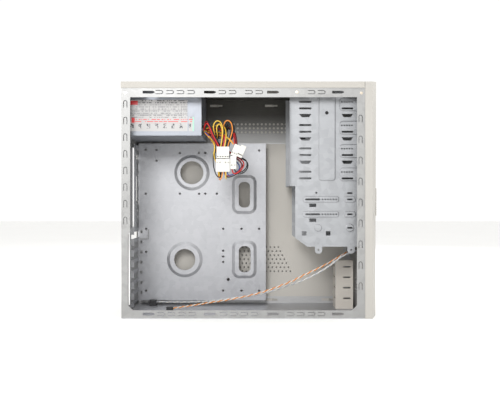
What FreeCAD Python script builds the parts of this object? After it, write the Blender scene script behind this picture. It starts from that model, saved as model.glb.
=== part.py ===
"""Mid-tower computer case, open on its left side, with power supply and front panel.

Frame: +Z up, the front bezel faces -Y, the open (left) side faces -X, and the
origin is the bottom centre of the chassis.  All sizes are millimetres.
"""
import FreeCAD, Part
import math
import os

Vector = FreeCAD.Vector
doc = FreeCAD.newDocument("tower")
parts = []

# ---------------------------------------------------------------- driving sizes
SIZES = {
    "width": 195.0,          # chassis over its side frames
    "height": 417.0,         # chassis over its top frame
    "front": -205.3,         # front face of the chassis, along Y
    "rear": 229.6,           # rear face of the chassis, along Y
    "metal": 1.0,            # chassis sheet
    "skin": 0.7,             # cover sheet
    "gap": 0.3,              # clearance between a cover and the chassis
    "cover_top": 423.0,      # top of the top cover
    "side_top": 411.2,       # upper edge of a side cover
    "flange": 13.5,          # rear flange of a side cover
    "rail_low": 14.6,        # top edge of the lower side rail
    "rail_high": 395.0,      # bottom edge of the upper side rail
    "post_rear": 214.0,      # front edge of the rear post
    "post_front": -191.0,    # rear edge of the front post
    "bay_width": 149.2,      # clear width of the large drive bays
    "bay_pitch": 42.3,       # height of one large drive bay
    "bay_low": 237.0,        # underside of the large drive cage
    "bay_back": -71.9,       # rear edge of the large drive cage
    "small_left": -74.6,     # clear left side of the small drive cage
    "small_width": 101.8,    # clear width of the small drive bays
    "small_low": 126.8,      # underside of the small drive cage
    "small_back": -82.0,     # rear edge of the small drive cage
    "tray_x": 71.5,          # face of the motherboard tray
    "tray_front": -32.0,
    "tray_low": 10.0,
    "tray_high": 325.0,
    "back_plate": 224.4,     # inner face of the tray's rear plate
    "slot_pitch": 20.32,
    "slot_low": 21.3,        # centre of the lowest expansion slot
    "psu_left": -69.4,
    "psu_low": 329.0,
    "psu_width": 150.0,
    "psu_height": 86.0,
    "psu_depth": 140.0,
    "fan_x": -15.9,          # centre of the supply's fan
    "fan_z": 372.0,
    "fan_side": 80.0,
    "fan_depth": 25.0,
    "vent_x": -35.5,         # centre of the rear fan vent
    "vent_z": 277.0,
    "fan_holes": 71.5,       # spacing of an 80 mm fan's screws
    "bezel_low": -232.0,     # front of the bezel at its foot
    "bezel_high": -227.0,    # front of the bezel at its top
    "bezel_wall": 3.0,
    "lean": 2.5,             # lean of the removed left cover, degrees
}
sheet = doc.addObject("Spreadsheet::Sheet", "Case")
for row, (alias, value) in enumerate(SIZES.items(), 1):
    sheet.set(f"A{row}", alias)
    sheet.set(f"B{row}", str(value))
    sheet.setAlias(f"B{row}", alias)
doc.recompute()


def size(alias):
    """A driving size, read back from the sheet."""
    return float(sheet.get(alias))


# ---------------------------------------------------------------- small helpers
XY, XZ, YZ = "XY", "XZ", "YZ"
TURN = {
    XY: FreeCAD.Rotation(),
    XZ: FreeCAD.Rotation(Vector(1, 0, 0), 90),        # local z runs along -Y
    YZ: FreeCAD.Rotation(Vector(1, 1, 1), 120),       # local z runs along +X
}
AXIS = {
    "x": FreeCAD.Rotation(Vector(0, 1, 0), 90),
    "y": FreeCAD.Rotation(Vector(1, 0, 0), -90),
    "z": FreeCAD.Rotation(),
}


def place(thing, at):
    """Bind the three coordinates of an object's place."""
    for axis, value in zip("xyz", at):
        thing.setExpression(f"Placement.Base.{axis}", str(value))


def box(at, extent, name="block"):
    """A box from its low corner and its extent; both may be expressions."""
    solid = doc.addObject("Part::Box", name)
    for prop, value in zip(("Length", "Width", "Height"), extent):
        solid.setExpression(prop, str(value))
    place(solid, at)
    return solid


def rod(at, radius, length, axis, name="rod"):
    """A cylinder that starts at a point and runs along +axis."""
    solid = doc.addObject("Part::Cylinder", name)
    solid.setExpression("Radius", str(radius))
    solid.setExpression("Height", str(length))
    solid.Placement = FreeCAD.Placement(Vector(), AXIS[axis])
    place(solid, at)
    return solid


def cut(base, tool, name="cut"):
    result = doc.addObject("Part::Cut", name)
    result.Base = base
    result.Tool = tool
    return result


def fuse(pieces, name="joined"):
    result = doc.addObject("Part::MultiFuse", name)
    result.Shapes = pieces
    return result


def group(pieces, name="group"):
    result = doc.addObject("Part::Compound", name)
    result.Links = pieces
    return result


def keep(thing, label):
    """Name a finished sub-part, so that it is written out."""
    thing.Label = label
    parts.append(thing)
    return thing


# Loops for sketches: each is a list of edges in the sketch's own x and y.
def polygon(points):
    corners = [Vector(x, y, 0) for x, y in points]
    return [Part.LineSegment(a, b) for a, b in zip(corners, corners[1:] + corners[:1])]


def rectangle(x0, y0, x1, y1):
    return polygon([(x0, y0), (x1, y0), (x1, y1), (x0, y1)])


def circle(x, y, radius):
    return [Part.Circle(Vector(x, y, 0), Vector(0, 0, 1), radius)]


def rounded(x0, y0, x1, y1, radius):
    """A rectangle with four round corners."""
    left, right, low, high = x0 + radius, x1 - radius, y0 + radius, y1 - radius
    z = Vector(0, 0, 1)

    def corner(x, y, start):
        whole = Part.Circle(Vector(x, y, 0), z, radius)
        return Part.ArcOfCircle(whole, start, start + math.pi / 2)

    edges = [corner(right, high, 0.0), corner(left, high, math.pi / 2)]
    edges += [corner(left, low, math.pi), corner(right, low, 1.5 * math.pi)]
    if right > left:
        edges.append(Part.LineSegment(Vector(left, y0, 0), Vector(right, y0, 0)))
        edges.append(Part.LineSegment(Vector(right, y1, 0), Vector(left, y1, 0)))
    if high > low:
        edges.append(Part.LineSegment(Vector(x1, low, 0), Vector(x1, high, 0)))
        edges.append(Part.LineSegment(Vector(x0, high, 0), Vector(x0, low, 0)))
    return edges


def slot(x0, y0, x1, y1):
    """A rounded slot whose ends are half circles."""
    return rounded(x0, y0, x1, y1, min(abs(x1 - x0), abs(y1 - y0)) / 2 - 0.001)


def plane(body, role="XY_Plane"):
    return next(f for f in body.Origin.OriginFeatures if f.Role == role)


def pad(body, loops, thickness, offset=0.0):
    """Add one layer of sheet to a body, from closed loops drawn on its XY plane."""
    sketch = body.newObject("Sketcher::SketchObject", "Outline")
    sketch.AttachmentSupport = [(plane(body), "")]
    sketch.MapMode = "FlatFace"
    sketch.AttachmentOffset = FreeCAD.Placement(Vector(0, 0, offset), FreeCAD.Rotation())
    sketch.addGeometry([edge for loop in loops for edge in loop], False)
    layer = body.newObject("PartDesign::Pad", "Sheet")
    layer.Profile = sketch
    layer.setExpression("Length", str(thickness))
    body.Tip = layer
    return layer


def plate(face, at, loops, thickness="Case.metal", name="Plate"):
    """A flat sheet with openings: its first loop is the outline, the rest are holes."""
    body = doc.addObject("PartDesign::Body", name)
    pad(body, loops, thickness)
    body.Placement = FreeCAD.Placement(Vector(), TURN[face])
    place(body, at)
    return body


def drill(face, at, loops, depth, name="Cutter"):
    """A cutter of many small loops, each its own column of material to remove."""
    sketch = doc.addObject("Sketcher::SketchObject", name + "_sketch")
    sketch.addGeometry([edge for loop in loops for edge in loop], False)
    sketch.Placement = FreeCAD.Placement(Vector(*at), TURN[face])
    tool = doc.addObject("Part::Extrusion", name)
    tool.Base = sketch
    tool.DirMode = "Custom"
    tool.Dir = TURN[face].multVec(Vector(0, 0, 1))
    tool.LengthFwd = depth
    tool.Solid = True
    return tool


# ---------------------------------------------------------------- chassis shell
HALF = size("width") / 2
METAL = size("metal")
FRONT, REAR, TOP = size("front"), size("rear"), size("height")
HOOKS = (181.0, 71.5, -41.0, -157.0)               # centres of the cover's hooks, along Y
HOOK_Z = {"high": 404.0, "low": 8.0}               # height of the two hook rows
HOOK_SLOT = (21.0, 5.0)
THUMB_Z = (37.5, 206.1, 372.7)                     # heights of the thumb screws
TONGUE_LENGTH, TONGUE_WIDTH, TONGUE_GAP = 13.5, 7.2, 1.3


def build_bottom_pan():
    pan = plate(XY, ("0", "0", "0"), [rectangle(-HALF, FRONT, HALF, REAR)], name="Pan")
    keep(pan, "bottom_pan")


def build_top_frame():
    opening = rounded(-70, -170, 70, 60, 8)
    frame = plate(XY, ("0", "0", "Case.height - Case.metal"),
                  [rectangle(-HALF, FRONT, HALF, REAR), opening], name="TopFrame")
    keep(frame, "top_frame")


def arrow(y, z):
    """A hook slot: straight at the rear, narrowing to its front end."""
    rear, front, half = y + HOOK_SLOT[0] / 2, y - HOOK_SLOT[0] / 2, HOOK_SLOT[1] / 2
    return polygon([(rear, z - half), (rear, z + half), (front + 3.5, z + half),
                    (front, z + 1.0), (front, z - 1.0), (front + 3.5, z - half)])


def tongue(y, z, upright):
    """The narrow U-shaped gap round a pressed spring tongue."""
    outer, inner = TONGUE_WIDTH / 2, TONGUE_WIDTH / 2 - TONGUE_GAP
    straight = TONGUE_LENGTH / 2 - outer
    angles = [math.radians(90 - 30 * step) for step in range(7)]
    rim = [(straight + outer * math.cos(a), outer * math.sin(a)) for a in angles]
    core = [(straight + inner * math.cos(a), inner * math.sin(a)) for a in reversed(angles)]
    outline = [(-TONGUE_LENGTH / 2, outer)] + rim + [(-TONGUE_LENGTH / 2, -outer)]
    outline += [(-TONGUE_LENGTH / 2, -inner)] + core + [(-TONGUE_LENGTH / 2, inner)]
    if upright:
        return polygon([(y - across, z + along) for along, across in outline])
    return polygon([(y - along, z + across) for along, across in outline])


def tongues():
    """Every spring tongue of the left frame, along its two rails and two posts."""
    upper = [162.0, 142.7, 124.0, 105.0, 49.2, 31.0, 1.8, -16.6, -110.0, -128.0]
    lower = [159.0, 140.2, 121.5, 103.0, 47.2, 28.4, 10.5, -8.5, -73.0, -90.5, -109.7, -128.0]
    loops = [tongue(y, HOOK_Z["high"], False) for y in upper]
    loops += [tongue(y, HOOK_Z["low"], False) for y in lower]
    loops += [tongue(222.6, 383.0 - 29.7 * step, True) for step in range(8)]
    loops += [tongue(-197.4, 357.0 - 37.4 * step, True) for step in range(9)]
    return loops


def build_side_frame(side):
    """A ring of rails and posts, with a row of hook slots above and below."""
    y0, y1 = FRONT + METAL, REAR - METAL
    loops = [rectangle(y0, METAL, y1, TOP - METAL)]
    low, high = size("rail_low"), size("rail_high")
    back, front = size("post_rear"), size("post_front")
    if side == "left":
        step = 217.8                               # the rear post is narrower low down
        corner = 9.0
        loops.append(polygon([(front, low + corner), (front + corner, low), (step - corner, low),
                              (step, low + corner), (step, 150.0), (back, 155.0),
                              (back, high), (front, high)]))
        loops += tongues()
    else:
        loops.append(rectangle(front, low, back, 326.0))
        holes = [(33.3 - 8.2 * step, 366.3 - 8.2 * row) for row in range(3) for step in range(14)]
        loops += [circle(y, z, 2.2) for y, z in holes]
    loops += [arrow(y, z) for y in HOOKS for z in HOOK_Z.values()]
    edge = "-Case.width / 2" if side == "left" else "Case.width / 2 - Case.metal"
    frame = plate(YZ, (edge, "0", "0"), loops, name=f"Side_{side}")
    keep(frame, f"side_frame_{side}")


def fan_vent(x, z, inner, outer, radius):
    """Round holes packed in a ring, in columns that are staggered by half a pitch."""
    holes = []
    column, pitch = 4.27, 5.0
    reach = int(outer / column) + 1
    for i in range(-reach, reach + 1):
        shift = pitch / 2 if i % 2 else 0.0
        for j in range(-reach, reach + 1):
            dx, dz = i * column, j * pitch + shift
            if inner < math.hypot(dx, dz) < outer:
                holes.append(circle(x + dx, z + dz, radius))
    return holes


def build_rear_panel():
    loops = [rectangle(-HALF, METAL, HALF, TOP - METAL)]
    x0, x1 = size("psu_left") + 7.0, size("psu_left") + size("psu_width") - 5.4
    z0, z1, nick = size("psu_low") + 6.0, TOP - 8.0, 8.0
    loops.append(polygon([(x0 + nick, z0), (x1 - nick, z0), (x1, z0 + nick), (x1, z1 - nick),
                          (x1 - nick, z1), (x0 + nick, z1), (x0, z1 - nick), (x0, z0 + nick)]))
    loops.append(polygon([(-24, 12), (83.7, 12), (83.7, 314), (24, 314), (24, 156), (-24, 156)]))
    vx, vz, spread = size("vent_x"), size("vent_z"), size("fan_holes") / 2
    loops += fan_vent(vx, vz, 15.5, 36.0, 1.4)
    loops.append(circle(vx, vz, 2.0))
    loops += [circle(vx + i * spread, vz + j * spread, 2.2) for i in (-1, 1) for j in (-1, 1)]
    pitch = 6.46
    loops += [circle(-43.2 - i * pitch, 17.3 + j * pitch, 1.7) for i in range(6) for j in range(12)]
    loops += [slot(x - 0.9, z - 6, x + 0.9, z + 6) for x in (-64.8, -76.2) for z in (110, 153)]
    loops += [circle(side * 91.0, z, 1.7) for side in (-1, 1) for z in THUMB_Z]
    panel = plate(XZ, ("0", "Case.rear", "0"), loops, name="Rear")
    ring = [rounded(-78.5, 168, 7.7, 321, 6), rounded(-77.1, 169.4, 6.3, 319.6, 5)]
    ring += [rounded(-33, 174, 1, 185, 4), rounded(-31.8, 175.2, -0.2, 183.8, 3)]
    pad(panel, ring, 0.4, offset=-0.4)
    keep(panel, "rear_panel")


AIR_INLET = (-2.3, 48.0)                           # centre of the holes behind the bezel's vent


def build_front_panel():
    half_bay = size("bay_width") / 2
    loops = [rectangle(-HALF, METAL, HALF, TOP - METAL)]
    loops.append(rectangle(-half_bay, 239, half_bay, 410))
    left = size("small_left")
    loops.append(rectangle(left, 150, left + size("small_width"), 235))
    loops.append(rounded(44, 104, 60, 214, 6))
    loops += [circle(AIR_INLET[0] + dx, AIR_INLET[1] + dz, 2.5)
              for dx in range(-14, 15, 7) for dz in range(-14, 15, 7)]
    panel = plate(XZ, ("0", "Case.front + Case.metal", "0"), loops, name="Front")
    keep(panel, "front_panel")


def pressed(sheet, loops, depth, slope, holes):
    """A sheet on a YZ plane with plateaus pressed towards -X, and holes through all of it."""
    x = sheet.Placement.Base.x
    plateaus = []
    for loop in loops:
        plateau = drill(YZ, (x, 0, 0), [loop], depth, "Plateau")
        plateau.Dir = Vector(-1, 0, 0)
        plateau.TaperAngle = -math.degrees(math.atan(slope / depth))
        plateaus.append(plateau)
    whole = fuse([sheet] + plateaus) if plateaus else sheet
    return cut(whole, drill(YZ, (x - 10, 0, 0), holes, 20))


# ---------------------------------------------------------------- motherboard tray
SLOTS = [size("slot_low") + step * size("slot_pitch") for step in range(7)]
PRESS_DEPTH, PRESS_SLOPE = 3.0, 6.0                # a pressed ring's height and sloping edge
BOARD_HOLE = 2.2
BOARD_HOLES = [
    (209.6, 312.2), (187.8, 312.2), (187.8, 290.8), (209.6, 224.2), (141.0, 306.0), (102.5, 306.0),
    (141.0, 224.2), (102.5, 224.2), (66.7, 224.2), (208.94, 107.2), (54.0, 109.5), (54.0, 87.0),
    (-18.39, 311.14),
]
CLIP_HOLES = [(17.2, 153.66), (17.2, 29.2), (54.0, 98.0), (90.0, 224.2), (90.0, 306.0)]
BOARD_HOLES += [(y, z) for y in (208.94, 54.0, -18.39) for z in (153.66, 29.2)]


def build_tray():
    """Flat tray with pressed rings round its openings and bent stiffening edges."""
    low, high, front = size("tray_low"), size("tray_high"), size("tray_front")
    outline = rectangle(front, low, size("back_plate"), high)
    body = plate(YZ, ("Case.tray_x", "0", "0"), [outline], name="Tray")
    doc.recompute()
    holes = [circle(116.8, 266.3, 23.2), circle(131.1, 91.9, 21.3), circle(43.9, 51.6, 3.2)]
    holes += [rounded(0.0, 196.2, 22.6, 247.8, 10), rounded(-1.2, 66.5, 22.6, 118.9, 10)]
    holes += [circle(y, z, BOARD_HOLE) for y, z in BOARD_HOLES]
    holes += [polygon([(y - 3.4, z), (y, z - 2.4), (y + 3.4, z), (y, z + 2.4)])
              for y, z in CLIP_HOLES]
    holes += [rectangle(216.6, z + 1.4, 220.8, z + 7.4) for z in SLOTS]
    rings = [circle(116.8, 266.3, 35.6), circle(131.1, 91.9, 36.0)]
    rings += [rounded(-13.3, 183.3, 36.3, 261.9, 15), rounded(-13.3, 53.8, 36.3, 129.9, 15)]
    face = pressed(body, rings, PRESS_DEPTH, PRESS_SLOPE, holes)
    lips = [box(("Case.tray_x + Case.metal", "Case.tray_front + 18", "Case.tray_high - Case.metal"),
                ("10", "Case.back_plate - Case.tray_front - 18", "Case.metal"), "lip"),
            box(("Case.tray_x + Case.metal", "Case.tray_front", "Case.tray_low"),
                ("12", "Case.metal", "Case.tray_high - Case.tray_low - 18"), "lip"),
            box(("Case.tray_x + Case.metal", "Case.tray_front + Case.metal", "Case.tray_low"),
                ("12", "Case.back_plate - Case.tray_front - Case.metal", "Case.metal"), "lip")]
    keep(fuse([face] + lips), "motherboard_tray")


def build_tray_rear_plate():
    outline = [(-30, 10), (86, 10), (86, 320), (20, 320), (20, 160), (-30, 160)]
    loops = [polygon(outline), rectangle(39.5, 156, 81, 310)]
    loops += [rectangle(-19, z - 6.3, 72, z + 6.3) for z in SLOTS]
    for step, z in enumerate((299.9, 266.3, 232.7, 199.4, 166.0)):
        square = rectangle(28.6, z - 2.8, 34.2, z + 2.8)
        loops.append(circle(31.4, z, 2.6) if step % 2 else square)
    body = plate(XZ, ("0", "Case.back_plate + Case.metal", "0"), loops, name="TrayRear")
    comb = box((-30, "Case.back_plate - 7", 10), ("Case.metal", "7", "150"), "comb")
    gaps = [box((-32, "Case.back_plate - 8", z - 5), ("5", "7.4", "8"), "gap") for z in SLOTS]
    keep(fuse([body, cut(comb, group(gaps))]), "tray_rear_plate")


def build_io_shield():
    loops = [rounded(37.8, 153.6, 82.4, 312.4, 2)]
    loops += [circle(71.8, 296.5, 6.2), circle(57.1, 296.5, 6.2)]
    loops.append(rectangle(62.7, 271, 77, 284.5))
    for x, low, high in ((72.5, 236.0, 266.6), (72.5, 201.0, 232.0), (53.6, 208.0, 259.5)):
        loops.append(polygon([(x - 4.4, low + 1.5), (x + 4.4, low), (x + 4.4, high),
                              (x - 4.4, high - 1.5)]))
    loops += [circle(63.5, 190.0, 3.1), circle(63.5, 177.6, 3.1)]
    body = plate(XZ, ("0", "Case.back_plate + Case.metal + 0.5", "0"), loops, "0.5", name="Shield")
    keep(body, "io_shield")


def build_slot_covers():
    """Six pressed covers with five ribs each; the seventh slot is open."""
    covers = []
    for z in SLOTS[:6]:
        y = "Case.back_plate + Case.metal"
        blade = box(("-23", y, z - 9.0), ("98", "0.8", "18"), "blade")
        ribs = [box((-17.0 + 18.0 * step, "Case.back_plate + Case.metal + 0.8", z - 6.5),
                    ("11", "0.7", "13"), "rib") for step in range(5)]
        covers.append(fuse([blade] + ribs))
    keep(group(covers), "slot_covers")


def build_chassis_screws():
    """Slot cover screws at the back, and three flat heads on the left frame."""
    y = "Case.back_plate + Case.metal"
    heads = [rod(("78.2", y, z), "2.7", "1.7", "y", "head") for z in SLOTS[:6]]
    x = "-Case.width / 2 - 0.25"
    spots = [(223.0, 402.6), (-199.0, 402.2), (-84.3, 404.0)]
    heads += [rod((x, y, z), 2.6, 0.25, "x") for y, z in spots]
    keep(group(heads), "chassis_screws")


def build_tray_clip():
    clip = fuse([box(("68.5", "204", "133"), ("3", "18", "1"), "arm"),
                 box(("68.5", "204", "134"), ("3", "1", "19"), "arm")])
    keep(clip, "tray_clip")


# ---------------------------------------------------------------- drive cages
BAY_TOP = 412.0


def build_large_cage():
    """Two side walls and a floor; the walls carry mounting slots for four drives."""
    back, low = size("bay_back"), size("bay_low")
    front = FRONT + METAL
    outline = rectangle(front, low, back, BAY_TOP)
    holes, plateaus = [], [rounded(-155.3, 246, -124.3, 408, 6)]
    for bay in range(4):
        z = 389.7 - bay * size("bay_pitch")
        holes.append(slot(-111.5, z - 1.8, -89.0, z + 1.8))
        holes.append(slot(-111.5, z - 13.8, -89.0, z - 10.2))
        if bay < 3:
            holes.append(polygon([(-111.5, z - 22), (-107, z - 28), (-94, z - 28), (-89, z - 22)]))
            holes.append(polygon([(-187, z - 22), (-183, z - 28), (-170, z - 28), (-166, z - 22)]))
        holes += [circle(-166.5 - 4.6 * step, z - 0.6, 1.5) for step in range(5)]
        holes.append(slot(-187.0, z - 14.0, -166.0, z - 10.4))
        plateaus.append(rounded(-200, z - 17.4, -161.7, z + 7.8, 7))
    holes.append(circle(-139.2, 369.5, 3.2))
    walls = []
    for side, sign in (("left", -1), ("right", 1)):
        x = f"{sign} * (Case.bay_width / 2 + Case.metal / 2) - Case.metal / 2"
        wall = plate(YZ, (x, "0", "0"), [outline], name=f"Wall_{side}")
        doc.recompute()
        walls.append(pressed(wall, plateaus if side == "left" else [], 1.5, 1.8, holes))
    floor = box(("-Case.bay_width / 2", "Case.front + Case.metal", "Case.bay_low"),
                ("Case.bay_width", "Case.bay_back - Case.front - Case.metal", "Case.metal"))
    lip = box(("-Case.bay_width / 2 - Case.metal - 6", "Case.bay_back - Case.metal", "Case.bay_low"),
              ("6", "Case.metal", BAY_TOP - size("bay_low") - 18))
    keep(fuse(walls + [floor, lip]), "large_drive_cage")


def build_small_cage():
    """Hanging cage for two or three small drives, with two hanging tabs."""
    back, low = size("small_back"), size("small_low")
    front = FRONT + METAL
    high = size("bay_low")
    outline = [(front, low), (-104, low), (back, low + 16), (back, high), (front, high)]
    holes = []
    for z in (212.6, 185.6):
        holes.append(slot(-127.0, z - 1.7, -100.0, z + 1.7))
        holes += [circle(-131.4 - 5.0 * step, z, 1.5) for step in range(6)]
        holes.append(rectangle(-120, z - 14, -107.5, z - 7.5))
    holes.append(circle(-120.3, 224.5, 1.8))
    holes += [rectangle(y - 4.2, 147.0, y + 4.2, 155.0) for y in (-98.2, -141.8)]
    holes += [slot(-186.0, z - 1.5, -176.0, z + 1.5) for z in (224.0, 212.6, 185.6, 161.0)]
    plateaus = [rounded(-161.7, z - 6.0, -95.4, z + 6.0, 5) for z in (212.6, 185.6)]
    plateaus += [rounded(-192.0, z - 6.0, -170.0, z + 6.0, 5) for z in (212.6, 185.6)]
    plateaus += [circle(-123.5, 161.0, 7.0), circle(-181.0, 161.0, 7.8)]
    left = plate(YZ, ("Case.small_left - Case.metal", "0", "0"), [polygon(outline)], name="SmallWall")
    doc.recompute()
    left = pressed(left, plateaus, 1.2, 1.5, holes)
    right = plate(YZ, ("Case.small_left + Case.small_width", "0", "0"), [polygon(outline)],
                  name="SmallWallRight")
    floor = box(("Case.small_left", "Case.front + Case.metal", "Case.small_low"),
                ("Case.small_width", "100", "Case.metal"))
    tabs = []
    for y in (-130.8, -190.0):
        tab = [rounded(y, 114.3, y + 13.3, 140.0, 6), circle(y + 6.6, 121, 1.6), circle(y + 6.6, 132, 1.6)]
        tabs.append(plate(YZ, ("Case.small_left - 2 * Case.metal", "0", "0"), tab, name="Tab"))
    keep(fuse([left, right, floor] + tabs), "small_drive_cage")


def build_card_guide():
    """Moulded guide for full-length cards, with one notch for each slot."""
    back, low = -170.5, 1.0
    spine = box(("15", back, low), ("45", "5", "94"))
    rack = box(("15", back - 29, low), ("4", "29", "94"))
    hook = box(("15", back - 29, low), ("45", "4", "10"))
    notches = [box(("19.5", back - 1, z - 1.5), ("41", "8", "3")) for z in SLOTS[:4]]
    slits = [box(("14", back - 24, z - 1.5), ("6", "14", "3")) for z in SLOTS[:4]]
    body = cut(fuse([spine, rack, hook]), group(notches + slits))
    keep(body, "card_guide")


# ---------------------------------------------------------------- power supply
PSU_BACK = REAR - METAL                            # the supply's rear face
PSU_FRONT = PSU_BACK - size("psu_depth")
PSU_RIGHT = size("psu_left") + size("psu_width")
PSU_TOP = size("psu_low") + size("psu_height")
SWITCH = (49.8, 390.4)
SELECTOR = (50.0, 372.5)
INLET = (49.6, 353.4)
PSU_SCREWS = [(51.0, 408.0), (-61.0, 399.0), (-61.0, 335.0), (74.6, 335.7)]


def build_supply_case():
    fan, wall = (size("fan_x"), size("fan_z")), 1.0
    left, low = size("psu_left"), size("psu_low")
    loops = [rectangle(left + wall, low, PSU_RIGHT - wall, PSU_TOP - wall)]
    loops.append(circle(*fan, 38.0))
    loops.append(rectangle(SWITCH[0] - 9.2, SWITCH[1] - 6.2, SWITCH[0] + 9.2, SWITCH[1] + 6.2))
    loops.append(rectangle(SELECTOR[0] - 7, SELECTOR[1] - 3.6, SELECTOR[0] + 7, SELECTOR[1] + 3.6))
    loops.append(rectangle(INLET[0] - 14, INLET[1] - 10, INLET[0] + 14, INLET[1] + 10))
    rear = plate(XZ, ("0", PSU_BACK, "0"), loops, name="SupplyRear")
    vents = [rectangle(left + wall, low, PSU_RIGHT - wall, PSU_TOP - wall)]
    vents += [slot(-20 + 8 * step, 350, -16 + 8 * step, 400) for step in range(11)]
    vents.append(circle(-54.0, 340.0, 6.5))
    front = plate(XZ, ("0", PSU_FRONT + wall, "0"), vents, name="SupplyFront")
    floor = box((left + wall, PSU_FRONT + wall, low), (size("psu_width") - 2 * wall,
                size("psu_depth") - 2 * wall, wall))
    keep(fuse([rear, front, floor]), "supply_base")
    lid = [box((left, PSU_FRONT, low), (wall, size("psu_depth"), size("psu_height") - wall)),
           box((PSU_RIGHT - wall, PSU_FRONT, low), (wall, size("psu_depth"), size("psu_height") - wall)),
           box((left, PSU_FRONT, PSU_TOP - wall), (size("psu_width"), size("psu_depth"), wall))]
    keep(fuse(lid), "supply_lid")
    label = box((left - 0.2, 114.0, 337.0), (0.2, 104.0, 57.0))
    stamp = box((left - 0.2, 102.0, 337.0), (0.2, 9.5, 26.0))
    hub = rod((size("fan_x"), PSU_BACK - wall, size("fan_z")), 15.0, 0.3, "y")
    keep(group([label, stamp, hub]), "supply_labels")


def build_fan():
    """Square frame with a fixed hub on struts, and the rotor that turns in it."""
    x, z, side = size("fan_x"), size("fan_z"), size("fan_side")
    depth, back = size("fan_depth"), PSU_BACK - 1.0
    spread = size("fan_holes") / 2
    loops = [rounded(x - side / 2, z - side / 2, x + side / 2, z + side / 2, 4), circle(x, z, 38.0)]
    loops += [circle(x + i * spread, z + j * spread, 2.0) for i in (-1, 1) for j in (-1, 1)]
    ring = plate(XZ, ("0", back, "0"), loops, depth, name="FanRing")
    hub = cut(rod((x, back - 3.0, z), 16.5, 3.0, "y"), rod((x, back - 4.0, z), 2.06, 4.0, "y"), "hub")
    struts = []
    for turn in range(4):
        strut = box((0, 0, 0), (26, 3.0, 4.0), "strut")
        angle = 90.0 * turn + 20.0
        c, s = math.cos(math.radians(angle)), math.sin(math.radians(angle))
        spin = FreeCAD.Rotation(Vector(0, 1, 0), -angle)
        strut.Placement = FreeCAD.Placement(Vector(), spin)
        place(strut, (x + 13.0 * c + 2.0 * s, back - 3.0, z + 13.0 * s - 2.0 * c))
        struts.append(strut)
    keep(fuse([ring, hub] + struts), "fan_frame")
    low = back - depth + 1.5
    rotor = [rod((x, low, z), 16.0, depth - 5.5, "y", "rotor_hub"),
             rod((x, low + depth - 6.0, z), 2.0, 3.5, "y", "shaft")]
    for turn in range(7):
        blade = doc.addObject("Part::Box", "blade")
        blade.Length, blade.Width, blade.Height = 22.0, 1.6, 19.0
        angle = 360.0 / 7 * turn
        twist = FreeCAD.Rotation(Vector(1, 0, 0), 42)
        spin = FreeCAD.Rotation(Vector(0, 1, 0), -angle)
        radial = spin.multVec(Vector(14.5, 0, 0))
        middle = spin.multVec(twist.multVec(Vector(0, -0.8, -9.5)))
        base = Vector(x, low + 9.5, z) + radial + middle
        blade.Placement = FreeCAD.Placement(base, spin.multiply(twist))
        rotor.append(blade)
    keep(fuse(rotor), "fan_rotor")


def build_grille():
    """Wire guard: four rings and four spokes that end in screw eyes."""
    x, z, y = size("fan_x"), size("fan_z"), REAR + 0.8
    wires = []
    for radius in (37.7, 29.6, 22.0, 14.0):
        ring = doc.addObject("Part::Torus", "ring")
        ring.Radius1, ring.Radius2 = radius, 0.8
        ring.Placement = FreeCAD.Placement(Vector(x, y, z), AXIS["y"])
        wires.append(ring)
    for turn in range(4):
        angle = 45.0 + 90.0 * turn
        spoke = doc.addObject("Part::Cylinder", "spoke")
        spoke.Radius, spoke.Height = 0.8, 33.0
        out = Vector(math.cos(math.radians(angle)), 0, math.sin(math.radians(angle)))
        spoke.Placement = FreeCAD.Placement(Vector(x, y, z) + out * 14.0,
                                            FreeCAD.Rotation(Vector(0, 0, 1), out))
        eye = doc.addObject("Part::Torus", "eye")
        eye.Radius1, eye.Radius2 = 3.0, 0.8
        eye.Placement = FreeCAD.Placement(Vector(x, y, z) + out * 50.2, AXIS["y"])
        wires += [spoke, eye]
    keep(fuse(wires), "fan_grille")


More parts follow.
